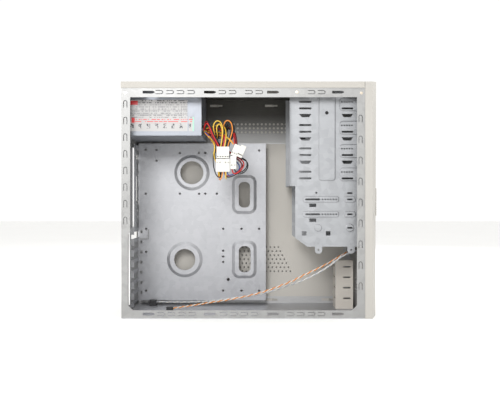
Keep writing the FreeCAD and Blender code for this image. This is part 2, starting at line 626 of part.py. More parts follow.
def build_supply_fittings():
    x, z = SWITCH
    shell = cut(box((x - 10, PSU_BACK, z - 7), (20, 1.6, 14)),
                box((x - 8.2, PSU_BACK - 1, z - 5.2), (16.4, 4, 10.4)))
    inner = cut(box((x - 9.2, PSU_BACK - 12, z - 6.2), (18.4, 12, 12.4)),
                box((x - 8.2, PSU_BACK - 10, z - 5.2), (16.4, 11, 10.4)))
    keep(fuse([shell, inner]), "switch_housing")
    rocker = fuse([box((x - 7.2, PSU_BACK - 2.0, z - 4.8), (14.4, 3.2, 9.6)),
                   rod((x, PSU_BACK - 3.0, z - 4.8), 2.6, 9.6, "z")])
    keep(rocker, "rocker_switch")
    x, z = SELECTOR
    housing = cut(box((x - 7, PSU_BACK - 8, z - 3.6), (14, 8.6, 7.2)),
                  box((x - 5.6, PSU_BACK - 2.2, z - 2.2), (11.2, 4, 4.4)))
    keep(housing, "selector_housing")
    keep(box((x - 5.2, PSU_BACK - 2.0, z - 1.9), (5.4, 2.4, 3.8)), "voltage_selector")
    x, z = INLET
    rim = [(x - 25, z), (x - 15, z + 12), (x + 15, z + 12), (x + 25, z), (x + 15, z - 12), (x - 15, z - 12)]
    flange = plate(XZ, ("0", PSU_BACK + 2.0, "0"),
                   [polygon(rim), rectangle(x - 12, z - 8, x + 12, z + 8)], 2.0, name="Inlet")
    well = cut(box((x - 14, PSU_BACK - 18, z - 10), (28, 18, 20)),
               box((x - 12, PSU_BACK - 16.5, z - 8), (24, 17, 16)))
    blades = [box((x + dx - 1.0, PSU_BACK - 17, z - 2 + dz), (2.0, 14.0, 4.0), "pin")
              for dx, dz in ((-7, -1.5), (0, 2.5), (7, -1.5))]
    keep(fuse([flange, well] + blades), "power_inlet")
    heads = [rod((x, REAR, z), 3.6, 2.0, "y", "head") for x, z in PSU_SCREWS[1:]]
    heads.append(rod((PSU_SCREWS[0][0], PSU_BACK, PSU_SCREWS[0][1] - 3), 3.2, 1.8, "y", "head"))
    keep(group(heads), "supply_screws")


def build_supply_inside():
    low = size("psu_low") + 6.0
    board = box((-60, PSU_FRONT + 6, low), (132, 102, 1.6))
    keep(board, "supply_board")
    core = box((-10, PSU_FRONT + 40, low + 1.6), (34, 30, 32))
    choke = box((34, PSU_FRONT + 44, low + 1.6), (20, 20, 18))
    cans = [rod((35 + 20 * i, PSU_FRONT + 92, low + 1.6), 9.0, 36.0, "z") for i in range(2)]
    keep(group([core, choke] + cans), "supply_components")
    sinks = []
    for x in (-34, 62):
        spine = box((x, PSU_FRONT + 12, low + 1.6), (3, 60, 56))
        fins = [box((x + 3, PSU_FRONT + 12 + 9.5 * step, low + 30), (7, 2, 26)) for step in range(7)]
        sinks.append(fuse([spine] + fins))
    keep(group(sinks), "supply_heatsinks")
    grommet = cut(fuse([rod((-54, PSU_FRONT - 3, 340), 9.0, 3.0, "y"),
                        rod((-54, PSU_FRONT, 340), 6.4, 3.0, "y")]),
                  rod((-54, PSU_FRONT - 2, 340), 4.6, 6.0, "y"))
    keep(grommet, "harness_grommet")


# ---------------------------------------------------------------- covers
def cover_solids(outer_x, inward, hooks):
    """A side cover's sheet, rear flange, front hem and hooks, in the closed place."""
    skin, gap = size("skin"), size("gap")
    y0, y1, z0, z1 = FRONT + 0.5, REAR + gap + skin, 1.2, size("side_top")
    sheet_x = min(outer_x, outer_x + inward * skin)
    flange_x = min(outer_x + inward * skin, outer_x + inward * size("flange"))
    wide = size("flange") - skin
    solids = [box((sheet_x, y0, z0), ("Case.skin", y1 - y0, z1 - z0), "sheet")]
    flange = box((flange_x, REAR + gap, z0), (wide, "Case.skin", z1 - z0), "flange")
    holes = [rod((outer_x + inward * 7.5, REAR - 1, z), 2.1, 4, "y") for z in THUMB_Z]
    solids.append(cut(flange, group(holes)))
    for y in hooks:
        for z in HOOK_Z.values():
            root = min(outer_x + inward * skin, outer_x + inward * (skin + 4.0))
            tip = min(outer_x + inward * (skin + 2.8), outer_x + inward * (skin + 4.0))
            solids.append(box((root, y - 8, z - 1.7), (4.0, 4.0, 3.4), "hook"))
            solids.append(box((tip, y - 15, z - 1.7), (1.2, 11.0, 3.4), "hook"))
    return solids


def cover_vents():
    """Staggered rows of air holes low in the right cover, shorter row by row upwards."""
    holes = []
    for row in range(7):
        z = 115.0 - 8.2 * row
        front = -59.0 - 5.2 * row
        shift = 4.1 if row % 2 else 0.0
        count = int((24.0 - shift - front) / 8.2) + 1
        holes += [circle(24.0 - shift - 8.2 * step, z, 1.6) for step in range(count)]
    return holes


def build_right_cover():
    outer = HALF + size("gap") + size("skin")
    vents = drill(YZ, (outer - 2, 0, 0), cover_vents(), 4)
    keep(cut(fuse(cover_solids(outer, -1, HOOKS)), vents), "right_cover")
    y = REAR + size("gap") + size("skin")
    heads = [thumb_screw(outer - 7.5, y, z) for z in THUMB_Z]
    keep(group(heads), "right_thumb_screws")


def thumb_screw(x, y, z):
    """A knurled head with a washer face and a shank through the flange."""
    return fuse([rod((x, y, z), 5.2, 1.0, "y"), rod((x, y + 1.0, z), 4.6, 4.4, "y"),
                 rod((x, y - 3.0, z), 1.5, 3.0, "y")])


def build_left_cover():
    """The removed left cover leans against the tower's other side, inside out."""
    foot = HALF + size("gap") + size("skin") + 0.6 + size("side_top") * math.sin(
        math.radians(size("lean")))
    cover = fuse(cover_solids(0.0, 1, HOOKS))
    y = REAR + size("gap") + size("skin")
    screws = group([thumb_screw(7.5, y, z) for z in THUMB_Z])
    turn = FreeCAD.Rotation(Vector(0, 1, 0), -size("lean"))
    for thing in (cover, screws):
        thing.Placement = FreeCAD.Placement(Vector(), turn)
        place(thing, (foot, "0", -1.2 * math.cos(math.radians(size("lean")))))
    keep(cover, "left_cover")
    keep(screws, "left_thumb_screws")


def build_top_cover():
    half, gap = HALF + size("gap") + size("skin"), size("gap")
    y0, y1 = FRONT + 0.5, REAR + gap + size("skin")
    roof = box((-half, y0, "Case.cover_top - 1"), (2 * half, y1 - y0, "1"), "roof")
    low = size("side_top") + 0.5
    skirts = [box((x, y0, low), ("Case.skin", y1 - y0, size("cover_top") - 1 - low), "skirt")
              for x in (-half, half - size("skin"))]
    rear = box((-half, REAR + gap, low), (2 * half, "Case.skin", size("cover_top") - 1 - low), "rear")
    shell = fuse([roof] + skirts + [rear], "TopShell")
    doc.recompute()
    soft = doc.addObject("Part::Fillet", "SoftRoof")
    soft.Base = shell
    soft.Edges = [(index, 0.9, 0.9) for index, edge in enumerate(shell.Shape.Edges, 1)
                  if edge.BoundBox.ZMin > size("cover_top") - 0.01 and edge.Length > 100]
    keep(soft, "top_cover")
    heads = [rod((x, REAR + gap + size("skin"), 417.5), 3.4, 1.8, "y") for x in (-84.4, 82.6)]
    keep(group(heads), "top_cover_screws")


# ---------------------------------------------------------------- front bezel
ARC_LOW, ARC_ENDS, ARC_SIDE = 136.0, 191.0, 94.6   # the curved seam across the bezel
POWER = (51.8, 208.5)
RESET = (51.4, 175.6)
LEDS = [(50.7, 136.2), (51.0, 114.2)]
BADGE = (-15.4, 60.6, 11.8, 85.0)
SMALL_BAY = (-74.0, 26.4)


def bezel_front(z):
    """Y of the bezel's front face at a height."""
    share = z / size("cover_top")
    return size("bezel_low") + (size("bezel_high") - size("bezel_low")) * share


def bezel_outline(z, inset, height):
    """Plan of the bezel: flat sides, two creases and a slightly bowed middle."""
    share = z / height
    left = -54.0 - 40.0 * share
    right = 52.0 + 38.0 * share
    half, front, side = 98.0 - inset, bezel_front(z) + inset, -219.0 + inset
    back = FRONT - (0.2 if inset == 0 else -1.0)
    points = [Vector(-half, back, z), Vector(-half, side, z), Vector(left, front + 1.2, z),
              Vector((left + right) / 2, front, z), Vector(right, front + 1.2, z),
              Vector(half, side, z), Vector(half, back, z)]
    edges = [Part.LineSegment(points[0], points[1]), Part.LineSegment(points[1], points[2]),
             Part.Arc(points[2], points[3], points[4]), Part.LineSegment(points[4], points[5]),
             Part.LineSegment(points[5], points[6]), Part.LineSegment(points[6], points[0])]
    return Part.Wire([edge.toShape() for edge in edges])


def bezel_solid(inset, low, high, name):
    """A ruled loft between the bezel's plans at its foot and its top."""
    height = size("cover_top")
    solid = doc.addObject("Part::Feature", name)
    wires = [bezel_outline(low, inset, height), bezel_outline(high, inset, height)]
    solid.Shape = Part.makeLoft(wires, True, True)
    return solid


def seam_ring(depth_low, depth_high):
    """A thin ring about the seam's centre, cut from the bezel as a groove."""
    rise = ARC_ENDS - ARC_LOW
    radius = (ARC_SIDE ** 2 + rise ** 2) / (2 * rise)
    centre = ARC_LOW + radius
    outer = rod((0, depth_low, centre), radius + 0.6, depth_high - depth_low, "y")
    inner = rod((0, depth_low - 1, centre), radius - 0.6, depth_high - depth_low + 2, "y")
    below = box((-99, depth_low, 100), (198, depth_high - depth_low, ARC_ENDS - 100))
    groove = doc.addObject("Part::Common", "Seam")
    groove.Base = cut(outer, inner)
    groove.Tool = below
    return groove


def vent_dots():
    dots = []
    for row, z in enumerate((41.9, 35.7, 29.4, 23.2, 17.3)):
        for column in range(-8, 9):
            x = -2.3 + 5.94 * column
            dots.append(circle(x, z + 5.2 * (column / 8.0) ** 2, 1.35))
    return dots


def build_bezel():
    outer = bezel_solid(0.0, 0.0, size("cover_top"), "BezelOuter")
    inner = bezel_solid(size("bezel_wall"), 3.0, size("cover_top") - 3.0, "BezelInner")
    shell = cut(outer, inner)
    bay = 4 * size("bay_pitch")
    low = 240.6
    holes = [box((-73.9, -240, low), (149.0, 50, bay + 1.0)),
             box((SMALL_BAY[0] - 0.4, -240, 182.6), (SMALL_BAY[1] - SMALL_BAY[0] + 0.8, 50, 51)),
             rod((POWER[0], -240, POWER[1]), 8.9, 50, "y"),
             drill(XZ, (0, -200, 0), vent_dots(), 50)]
    for x, z in LEDS:
        holes.append(rod((x, -240, z), 2.6, 50, "y"))
    x0, z0, x1, z1 = BADGE
    holes.append(box((x0 - 0.1, -240, z0 - 0.1), (x1 - x0 + 0.2, 240 + bezel_front(72) + 1.0,
                                                  z1 - z0 + 0.2)))
    oval = drill(XZ, (0, -200, 0), [reset_loop(0.4)], 50)
    skin_depth = bezel_solid(1.2, -1.0, size("cover_top") + 1.0, "SeamDepth")
    ring = cut(seam_ring(-236.0, -205.0), skin_depth)
    keep(cut(shell, group(holes + [oval, ring])), "front_bezel")


def reset_loop(grow):
    """An oval tilted by 45 degrees."""
    centre = Vector(*RESET, 0)
    slope = Vector(1, 1, 0).normalize()
    across = Vector(-1, 1, 0).normalize()
    return [Part.Ellipse(centre + slope * (9.4 + grow), centre + across * (4.0 + grow), centre)]


def build_drive_covers():
    """Four large blanks and two small ones, each a shallow tray that snaps in."""
    low = 241.1
    for number in range(1, 5):
        z = low + (number - 1) * size("bay_pitch")
        face = box((-73.3, "-228.6", z + 0.25), (147.8, "3", "Case.bay_pitch - 0.5"))
        rim = cut(box((-71, "-225.6", z + 2), (143, "17", "Case.bay_pitch - 4")),
                  box((-69, "-226.6", z + 4), (139, "20", "Case.bay_pitch - 8")))
        keep(fuse([face, rim]), f"large_bay_cover_{number}")
    for number, (z0, z1) in enumerate(((183.2, 207.7), (208.3, 232.9)), 1):
        width = SMALL_BAY[1] - SMALL_BAY[0]
        face = box((SMALL_BAY[0], "-229.6", z0), (width, "3", z1 - z0))
        rim = cut(box((SMALL_BAY[0] + 2, "-226.6", z0 + 2), (width - 4, "16", z1 - z0 - 4)),
                  box((SMALL_BAY[0] + 4, "-227.6", z0 + 4), (width - 8, "19", z1 - z0 - 8)))
        cover = fuse([face, rim])
        if number == 1:
            lines = [box((SMALL_BAY[0] - 1, "-230", z0 + 2.5 + 3.3 * step), (width + 2, "0.8", "0.9"))
                     for step in range(7)]
            cover = cut(cover, group(lines))
        keep(cover, f"small_bay_cover_{number}")


def build_controls():
    x, z = POWER
    cap = rod((x, -231.2, z), 8.6, 8.0, "y", "cap")
    stem = rod((x, -223.2, z), 3.0, 4.0, "y", "stem")
    joined = fuse([cap, stem], "PowerCap")
    doc.recompute()
    rim = [(i, 2.2, 2.2) for i, e in enumerate(joined.Shape.Edges, 1)
           if e.BoundBox.YMax < -231.19 and e.Length > 40]
    dome = doc.addObject("Part::Fillet", "PowerDome")
    dome.Base = joined
    dome.Edges = rim
    keep(dome, "power_button")
    reset = drill(XZ, (0, -223.0, 0), [reset_loop(0.0)], 8.0)
    stem = rod((RESET[0], -223.0, RESET[1]), 2.0, 3.8, "y", "stem")
    keep(fuse([reset, stem]), "reset_button")
    board = box((43, -210.5, 166), (17, 1.6, 52))
    bodies = [box((POWER[0] - 5, -216.2, POWER[1] - 5), (10, 5.7, 10)),
              box((RESET[0] - 4, -216.2, RESET[1] - 4), (8, 5.7, 8))]
    keep(fuse([board] + bodies), "switch_board")
    lamps = [fuse([rod((x, bezel_front(z) - 0.6, z), 2.5, 9.0, "y"),
                   rod((x, bezel_front(z) + 8.4, z), 3.1, 1.2, "y")]) for x, z in LEDS]
    keep(group(lamps), "front_lamps")
    x0, z0, x1, z1 = BADGE
    keep(box((x0, bezel_front(72) - 0.6, z0), (x1 - x0, 1.5, z1 - z0)), "badge")


# ---------------------------------------------------------------- wiring
LEAD_DIAMETER = 3.6
POWER_LEAD = [(-30, -198, 118), (-33, -177, 113), (-33, -155, 98), (-29, -130, 84), (-28, -104, 72),
              (-31, -78, 59), (-32, -52, 49), (-29, -27, 39.5), (-22, 1, 31), (-16, 40, 22.5),
              (-11, 80, 16), (-6, 118, 9), (-1, 147, 4.3)]
DISK_LEAD = [(-42, -198, 118), (-45, -176, 112), (-43, -150, 91), (-38, -133, 78.6), (-30, -100, 60.4),
             (-20, -70, 49), (-5, -30, 33.6), (8, 1, 26.8), (20, 32, 21.1), (33, 79, 13),
             (43, 118, 10), (51, 155, 8.6), (58, 186, 8.9)]


def tube(points, diameter):
    """Straight runs joined by tangent arcs, as large as the runs allow."""
    spots = [Vector(*p) for p in points]
    edges, here, tightest, straight = [], spots[0], 1e9, 0.0
    for before, point, after in zip(spots, spots[1:], spots[2:]):
        back, on = (before - point), (after - point)
        turn = math.pi - back.getAngle(on)
        reach = 0.45 * min(back.Length, on.Length)
        radius = reach / math.tan(turn / 2)
        tightest = min(tightest, radius)
        back.normalize()
        on.normalize()
        start, end = point + back * reach, point + on * reach
        inward = (back + on).normalize()
        middle = point + inward * (math.hypot(radius, reach) - radius)
        edges.append(Part.LineSegment(here, start).toShape())
        edges.append(Part.Arc(start, middle, end).toShape())
        here = end
    edges.append(Part.LineSegment(here, spots[-1]).toShape())
    path = Part.Wire(edges)
    first = (spots[1] - spots[0]).normalize()
    ring = Part.Wire(Part.Circle(spots[0], first, diameter / 2).toShape())
    shell = Part.BRepOffsetAPI.MakePipeShell(path)
    shell.add(ring)
    shell.build()
    shell.makeSolid()
    solid = shell.shape()
    share = solid.Volume / (math.pi * diameter ** 2 / 4 * path.Length)
    print(f"lead: length {path.Length:.1f}, tightest radius {tightest:.1f}, volume share {share:.3f}")
    return solid


def build_leads():
    for name, route in (("power_lead", POWER_LEAD), ("disk_lead", DISK_LEAD)):
        lead = doc.addObject("Part::Feature", name)
        lead.Shape = tube(route, LEAD_DIAMETER)
        keep(lead, name)
    x, y, z = POWER_LEAD[-1]
    keep(box((x - 4.0, y, z - 3.0), (8.0, 13.0, 6.0)), "power_lead_plug")
    x, y, z = DISK_LEAD[-1]
    keep(box((x - 3.5, y, 1.3), (7.0, 14.0, 11.5)), "disk_lead_plug")
    seat = box((-50, "Case.front + Case.metal", 112), (26, 6.3, 12), "seat")
    keep(seat, "lead_socket")


def build_harness():
    """The gathered output wires, kept as one closed solid, with the plugs on it."""
    block = box((-58, 4, 244), (46, PSU_FRONT - 3 - 4, 116), "Bundle")
    soft = doc.addObject("Part::Fillet", "SoftBundle")
    soft.Base = block
    doc.recompute()
    soft.Edges = [(index, 12.0, 12.0) for index in range(1, len(block.Shape.Edges) + 1)]
    keep(soft, "harness_bundle")
    spots = ((38, 288, 23, 21), (37, 264, 25, 22), (25, 268, 11, 24), (11, 290, 21, 23))
    plugs = [box((-68.0, y, z), (10.0, wide, tall)) for y, z, wide, tall in spots]
    keep(group(plugs), "harness_plugs")


# ---------------------------------------------------------------- build and write
def build_all():
    build_bottom_pan()
    build_top_frame()
    build_side_frame("left")
    build_side_frame("right")
    build_rear_panel()
    build_front_panel()
    build_tray()
    build_tray_rear_plate()
    build_io_shield()
    build_slot_covers()
    build_chassis_screws()
    build_tray_clip()
    build_large_cage()
    build_small_cage()
    build_card_guide()
    build_supply_case()
    build_fan()
    build_grille()
    build_supply_fittings()
    build_supply_inside()
    build_right_cover()
    build_left_cover()
    build_top_cover()
    build_bezel()
    build_drive_covers()
    build_controls()
    build_leads()
    build_harness()


build_all()
doc.recompute()
problems = [f"{o.Name} {o.Label} {o.State}" for o in doc.Objects if {"Invalid", "Error"} & set(o.State)]
problems += [o.Label for o in parts if o.Shape.isNull() or not o.Shape.isValid()]
if problems:
    raise RuntimeError("failed objects: " + "; ".join(problems))
os.makedirs("parts", exist_ok=True)
for thing in parts:
    thing.Shape.exportStep(f"parts/{thing.Label}.step")
print(len(parts), "sub-parts written")
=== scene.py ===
# %% [markdown]
# A desktop computer tower stands with its left cover off, so the eye looks straight
# into a steel box.  The CAD model already holds every sheet, cage and bracket at its
# real size.  What is left for Blender is what makes it look real: zinc, paint and
# moulded plastic as materials, and the small soft or finely shaped things, such as the
# wires, their plugs, the screws and the fan's blades.

# %% Load the frame and keep its size
import math
import random

import bpy
from mathutils import Matrix, Vector


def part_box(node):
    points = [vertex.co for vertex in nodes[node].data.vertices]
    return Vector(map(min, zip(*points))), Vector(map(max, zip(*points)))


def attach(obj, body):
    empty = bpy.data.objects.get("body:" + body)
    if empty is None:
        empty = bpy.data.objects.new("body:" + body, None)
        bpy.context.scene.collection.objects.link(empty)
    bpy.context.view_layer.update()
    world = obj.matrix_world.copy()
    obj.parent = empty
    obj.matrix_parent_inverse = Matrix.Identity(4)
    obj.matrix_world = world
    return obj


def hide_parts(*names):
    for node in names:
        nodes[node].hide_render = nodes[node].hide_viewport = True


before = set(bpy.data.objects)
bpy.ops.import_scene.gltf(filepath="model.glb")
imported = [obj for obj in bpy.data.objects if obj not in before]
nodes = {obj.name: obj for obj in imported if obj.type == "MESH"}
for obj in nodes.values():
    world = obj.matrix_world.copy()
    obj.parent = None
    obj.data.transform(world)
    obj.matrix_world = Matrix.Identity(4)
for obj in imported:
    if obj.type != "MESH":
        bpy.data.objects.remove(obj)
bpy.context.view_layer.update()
MM = 0.001

# %% [markdown]
# The camera looks square into the open side, from a little over a metre away and at
# half the tower's height, as a catalogue picture would be taken.  It has no tilt, so
# upright edges stay upright.  The floor is a large pale sheet.  A soft key lamp hangs
# over the camera, two weaker lamps light the front and the back, and one more lights the
# far side.  The world is nearly white, because bare zinc shows little but what it
# mirrors.

# %% Camera
open_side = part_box("side_frame_left")[0].x
EYE_DISTANCE = 1.326
EYE_HEIGHT = 0.2115
lens = bpy.data.cameras.new("catalogue_lens")
lens.lens = 53.5
lens.sensor_width = 36.0
camera = bpy.data.objects.new("catalogue_camera", lens)
camera.location = (open_side - EYE_DISTANCE, 0.0, EYE_HEIGHT)
camera.rotation_euler = (math.radians(90), 0.0, math.radians(-90))
bpy.context.scene.collection.objects.link(camera)
bpy.context.scene.camera = camera
print("camera at", [round(v, 3) for v in camera.location])


# %% Floor, world and lamps
def deselect():
    for thing in list(bpy.context.selected_objects):
        thing.select_set(False)


deselect()
bpy.ops.mesh.primitive_plane_add(size=12.0, location=(0, 0, -0.0003))
floor = bpy.context.object
floor.name = "studio_floor"

AIR_STRENGTH = 1.05
world = bpy.data.worlds.new("studio_air")
world.use_nodes = True
world.node_tree.nodes["Background"].inputs["Color"].default_value = (1.0, 0.995, 0.985, 1)
world.node_tree.nodes["Background"].inputs["Strength"].default_value = AIR_STRENGTH
bpy.context.scene.world = world
bpy.context.scene.view_settings.view_transform = "Standard"


def lamp(name, place, aim, side, watts):
    """A square soft lamp that shines from one point towards another."""
    light = bpy.data.lights.new(name, "AREA")
    light.size, light.energy = side, watts
    holder = bpy.data.objects.new(name, light)
    holder.location = place
    holder.rotation_euler = (Vector(aim) - Vector(place)).to_track_quat("-Z", "Y").to_euler()
    bpy.context.scene.collection.objects.link(holder)


middle = (0.0, 0.0, 0.2)
lamp("key_lamp", (-1.45, 0.3, 0.85), middle, 0.5, 13)
lamp("front_fill", (-0.3, -1.6, 0.9), middle, 0.7, 9)
lamp("back_fill", (-0.3, 1.7, 0.9), middle, 0.7, 9)
lamp("far_fill", (1.7, -0.4, 1.0), middle, 0.8, 8)
print("floor, world and", len(bpy.data.lights), "lamps made")

# %% [markdown]
# A finish is a small tree of shader nodes.  Written node by node it is long and hard to
# read, so two helpers come first.  A Value wraps one socket, and plain arithmetic on
# Values adds the Math nodes.  A Finish holds one material and makes any node from its
# type, its settings and what goes into its sockets.

# %% Value: arithmetic on sockets
class Value:
    """A number on its way through a material; arithmetic on it adds Math nodes."""

    def __init__(self, finish, socket):
        self.finish, self.socket = finish, socket

    def math(self, operation, *others):
        return self.finish.node("Math", {"operation": operation}, dict(enumerate((self, *others))))

    def __add__(self, other):
        return self.math("ADD", other)

    __radd__ = __add__

    def __sub__(self, other):
        return self.math("SUBTRACT", other)

    def __rsub__(self, other):
        return self.finish.node("Math", {"operation": "SUBTRACT"}, {0: other, 1: self})

    def __mul__(self, other):
        return self.math("MULTIPLY", other)

    __rmul__ = __mul__

    def __truediv__(self, other):
        return self.math("DIVIDE", other)

    def __lt__(self, other):
        return self.math("LESS_THAN", other)

    def __gt__(self, other):
        return self.math("GREATER_THAN", other)

    def fraction(self):
        return self.math("FRACT")

    def floor(self):
        return self.math("FLOOR")

    def clamp(self):
        return self.finish.node("Clamp", {}, {"Value": self})


# %% Finish: one material and its nodes
class Finish:
    """A procedural material built round one Principled shader."""

    def __init__(self, name, **shader):
        self.material = bpy.data.materials.new(name)
        self.material.use_nodes = True
        self.tree = self.material.node_tree
        self.tree.nodes.clear()
        self.shader = self.tree.nodes.new("ShaderNodeBsdfPrincipled")
        output = self.tree.nodes.new("ShaderNodeOutputMaterial")
        self.tree.links.new(self.shader.outputs[0], output.inputs[0])
        self.shape(**shader)

    def put(self, socket, value):
        """Link a Value into a socket, or set the socket to a plain number or colour."""
        if isinstance(value, Value):
            self.tree.links.new(value.socket, socket)
        elif isinstance(value, tuple) and len(value) == 3 and socket.type == "RGBA":
            socket.default_value = (*value, 1.0)
        else:
            socket.default_value = value

    def node(self, kind, settings, inputs, output=0):
        """Any node, with its settings and what goes into its sockets, as a Value."""
        made = self.tree.nodes.new("ShaderNode" + kind)
        for name, value in settings.items():
            setattr(made, name, value)
        for name, value in inputs.items():
            self.put(made.inputs[name], value)
        return Value(self, made.outputs[output])

    def place(self):
        """Object coordinates, which are the row frame's own metres."""
        return self.node("TexCoord", {}, {}, "Object")

    def axes(self):
        """The same coordinates as three Values."""
        parts = self.place()
        return [self.node("SeparateXYZ", {}, {0: parts}, output) for output in range(3)]

    def noise(self, scale, detail=3.0, stretch=None):
        """Soft noise from 0 to 1, finer along the axes that are stretched."""
        where = self.place()
        if stretch:
            where = self.node("Mapping", {}, {"Vector": where, "Scale": stretch})
        return self.node("TexNoise", {}, {"Vector": where, "Scale": scale, "Detail": detail}, 0)

    def blend(self, share, low, high):
        """One colour or the other, by a share from 0 to 1."""
        return self.node("Mix", {"data_type": "RGBA"}, {0: share, 6: low, 7: high}, 2)

    def shape(self, **sockets):
        """Feed values into the shader's own sockets."""
        for socket, value in sockets.items():
            self.put(self.shader.inputs[socket.replace("_", " ")], value)
        return self

    def bumps(self, height, depth):
        """A relief of a real depth in metres."""
        normal = self.node("Bump", {}, {"Height": height, "Distance": depth})
        return self.shape(Normal=normal)


print("shader helpers ready")

# %% [markdown]
# Zinc-coated sheet is not a plain grey.  The coat sets in flat crystals a few
# millimetres across, called spangle, and each one reflects a little differently.  A
# Voronoi texture gives exactly such flat cells.  Its cell colour shifts the tone and
# the roughness, and a stretched noise adds the faint rolling marks.  Under the roof the
# metal lies in shade, and that shade is painted in: the roof's frame has a darker coat,
# and the far side frame has a finish of its own with painted shade towards its top rail.


# %% Zinc-coated sheet
ROLLED = (1.0, 1.0, 14.0)


def zinc(name, dark, bright, rough=0.36):
    """Galvanised sheet: spangle cells, rolling marks and a dull bloom."""
    sheet = Finish(name, Metallic=0.62)
    cell = sheet.node("TexVoronoi", {}, {"Vector": sheet.place(), "Scale": 105.0}, "Color")
    spangle = sheet.node("SeparateColor", {}, {0: cell}, 0)
    rolling = sheet.noise(60.0, 4.0, ROLLED)
    bloom = sheet.noise(9.0, 2.0)
    tone = (spangle * 0.35 + rolling * 0.3 + bloom * 0.55 - 0.1).clamp()
    sheet.shape(Base_Color=sheet.blend(tone, dark, bright))
    sheet.shape(Roughness=rough + spangle * 0.08 + rolling * 0.12)
    return sheet.bumps(rolling, 0.00004).material


frame_zinc = zinc("frame_zinc", (0.27, 0.27, 0.268), (0.38, 0.38, 0.375))
# Painted shade: the roof's frame gets a darker zinc because it lies in shade under the roof.
roof_shade_zinc = zinc("roof_shade_zinc", (0.085, 0.082, 0.074), (0.16, 0.155, 0.145))
cage_zinc = zinc("cage_zinc", (0.28, 0.288, 0.30), (0.40, 0.408, 0.425))
tray_zinc = zinc("tray_zinc", (0.37, 0.375, 0.395), (0.52, 0.525, 0.545))
supply_zinc = zinc("supply_zinc", (0.20, 0.213, 0.24), (0.29, 0.305, 0.335), rough=0.3)
shield_zinc = zinc("shield_zinc", (0.26, 0.268, 0.27), (0.37, 0.378, 0.38), rough=0.28)
print("zinc finishes made")


# %% Zinc with painted shade along the top rail
TOP_RAIL = 0.328


def shaded_zinc():
    """The far side frame: zinc low down, with painted shade that darkens it towards and along its top
    rail.
    """
    sheet = Finish("shaded_zinc", Metallic=0.5, Roughness=0.45)
    x, y, z = sheet.axes()
    rise = ((z - 0.325) / 0.07).clamp()
    grain = sheet.noise(60.0, 4.0, ROLLED)
    lit_tone = sheet.blend(grain, (0.44, 0.44, 0.44), (0.60, 0.60, 0.60))
    shade_tone = sheet.blend(grain, (0.055, 0.052, 0.045), (0.10, 0.097, 0.088))
    # Painted shade: the tone darkens towards the top rail and more above it, where the frame lies in
    # shade.
    painted_shade = (rise * 0.75 + (z > TOP_RAIL) * 0.35).clamp()
    sheet.shape(Base_Color=sheet.blend(painted_shade, lit_tone, shade_tone))
    return sheet.bumps(grain, 0.00004).material


far_zinc = shaded_zinc()
# The darkening above TOP_RAIL is painted shade.
print("far frame's zinc dulls above", TOP_RAIL, "m")

# %% [markdown]
# The covers are sheet steel with a textured beige powder coat, and the bezel and the bay
# covers are moulded plastic coloured to match.  Both are one colour at arm's length, and
# close by they differ: the paint has a soft orange peel, the plastic a fine spark grain.
# Each has a slow drift of tone, because no large surface is perfectly even.  The right
# cover's inner face is seen through the case, where little of this studio's light gets.
# The paint is made paler there, to stand for that missing light, in a thin layer of the
# sheet picked out by its distance from the middle.


# %% Paint and moulded plastic
INNER_FACE = 0.0981                                # just outside the right cover's inner face
INNER_LAYER = 0.0012


def lighter(tone, gain):
    """A colour with each channel multiplied by the gain."""
    return tuple(channel * gain for channel in tone)


def powder_coat(name, low, high, inner_gain=1.0):
    """Beige powder coat with an orange peel, and an inner face lighter by a gain."""
    paint = Finish(name, IOR=1.48)
    x, y, z = paint.axes()
    drift = (paint.noise(6.0, 2.0) * 1.2 - 0.1).clamp()
    peel = paint.noise(520.0, 2.0)
    outer = paint.blend(drift, low, high)
    inner = paint.blend(drift, lighter(low, inner_gain), lighter(high, inner_gain))
    inside = (x < INNER_FACE) * (x > INNER_FACE - INNER_LAYER)
    paint.shape(Base_Color=paint.blend(inside, outer, inner))
    paint.shape(Roughness=0.42 + peel * 0.16)
    return paint.bumps(peel, 0.00010).material


def moulded(name, low, high, rough=0.42, scale=1500.0, depth=0.00005):
    """Injection-moulded plastic with a fine spark grain."""
    plastic = Finish(name, IOR=1.46)
    drift = plastic.noise(11.0, 3.0)
    spark = plastic.noise(scale, 1.0)
    plastic.shape(Base_Color=plastic.blend(drift, low, high))
    plastic.shape(Roughness=rough + spark * 0.14)
    return plastic.bumps(spark, depth).material


BEIGE = ((0.38, 0.362, 0.33), (0.425, 0.407, 0.375))
cover_paint = powder_coat("cover_paint", *BEIGE)
right_paint = powder_coat("right_paint", *BEIGE, inner_gain=1.4)
bezel_plastic = moulded("bezel_plastic", (0.385, 0.37, 0.342), (0.43, 0.415, 0.387))
bay_plastic = moulded("bay_plastic", (0.37, 0.354, 0.327), (0.412, 0.396, 0.368))
ivory = moulded("ivory_nylon", (0.50, 0.465, 0.42), (0.62, 0.58, 0.52), rough=0.36)
plug_nylon = moulded("plug_nylon", (0.60, 0.59, 0.55), (0.72, 0.71, 0.67), rough=0.34)
black_plastic = moulded("black_plastic", (0.012, 0.012, 0.013), (0.03, 0.03, 0.032), rough=0.34)
red_plastic = moulded("red_plastic", (0.50, 0.03, 0.02), (0.62, 0.06, 0.04), rough=0.32)
button_blue = moulded("button_blue", (0.045, 0.085, 0.135), (0.075, 0.125, 0.185), rough=0.24)
badge_grey = moulded("badge_grey", (0.36, 0.355, 0.345), (0.47, 0.465, 0.455), rough=0.22)
print("paint and plastic finishes made")

# %% [markdown]
# Screws and the fan's wire guard are plated and bright, so they are plain metal with fine
# scratches.  The circuit boards are green laminate, and square steps of the coordinates
# lay pale tracks on them.  The parts inside the supply are banded, like shrink sleeve and
# lacquered windings.


# %% Plated metal and circuit boards
def plated(name, low, high, rough):
    """A bright plated metal with fine scratches."""
    metal = Finish(name, Metallic=1.0)
    scratch = metal.noise(900.0, 3.0, (1.0, 8.0, 1.0))
    metal.shape(Base_Color=metal.blend(metal.noise(140.0, 2.0), low, high))
    metal.shape(Roughness=rough + scratch * 0.15)
    return metal.bumps(scratch, 0.00002).material


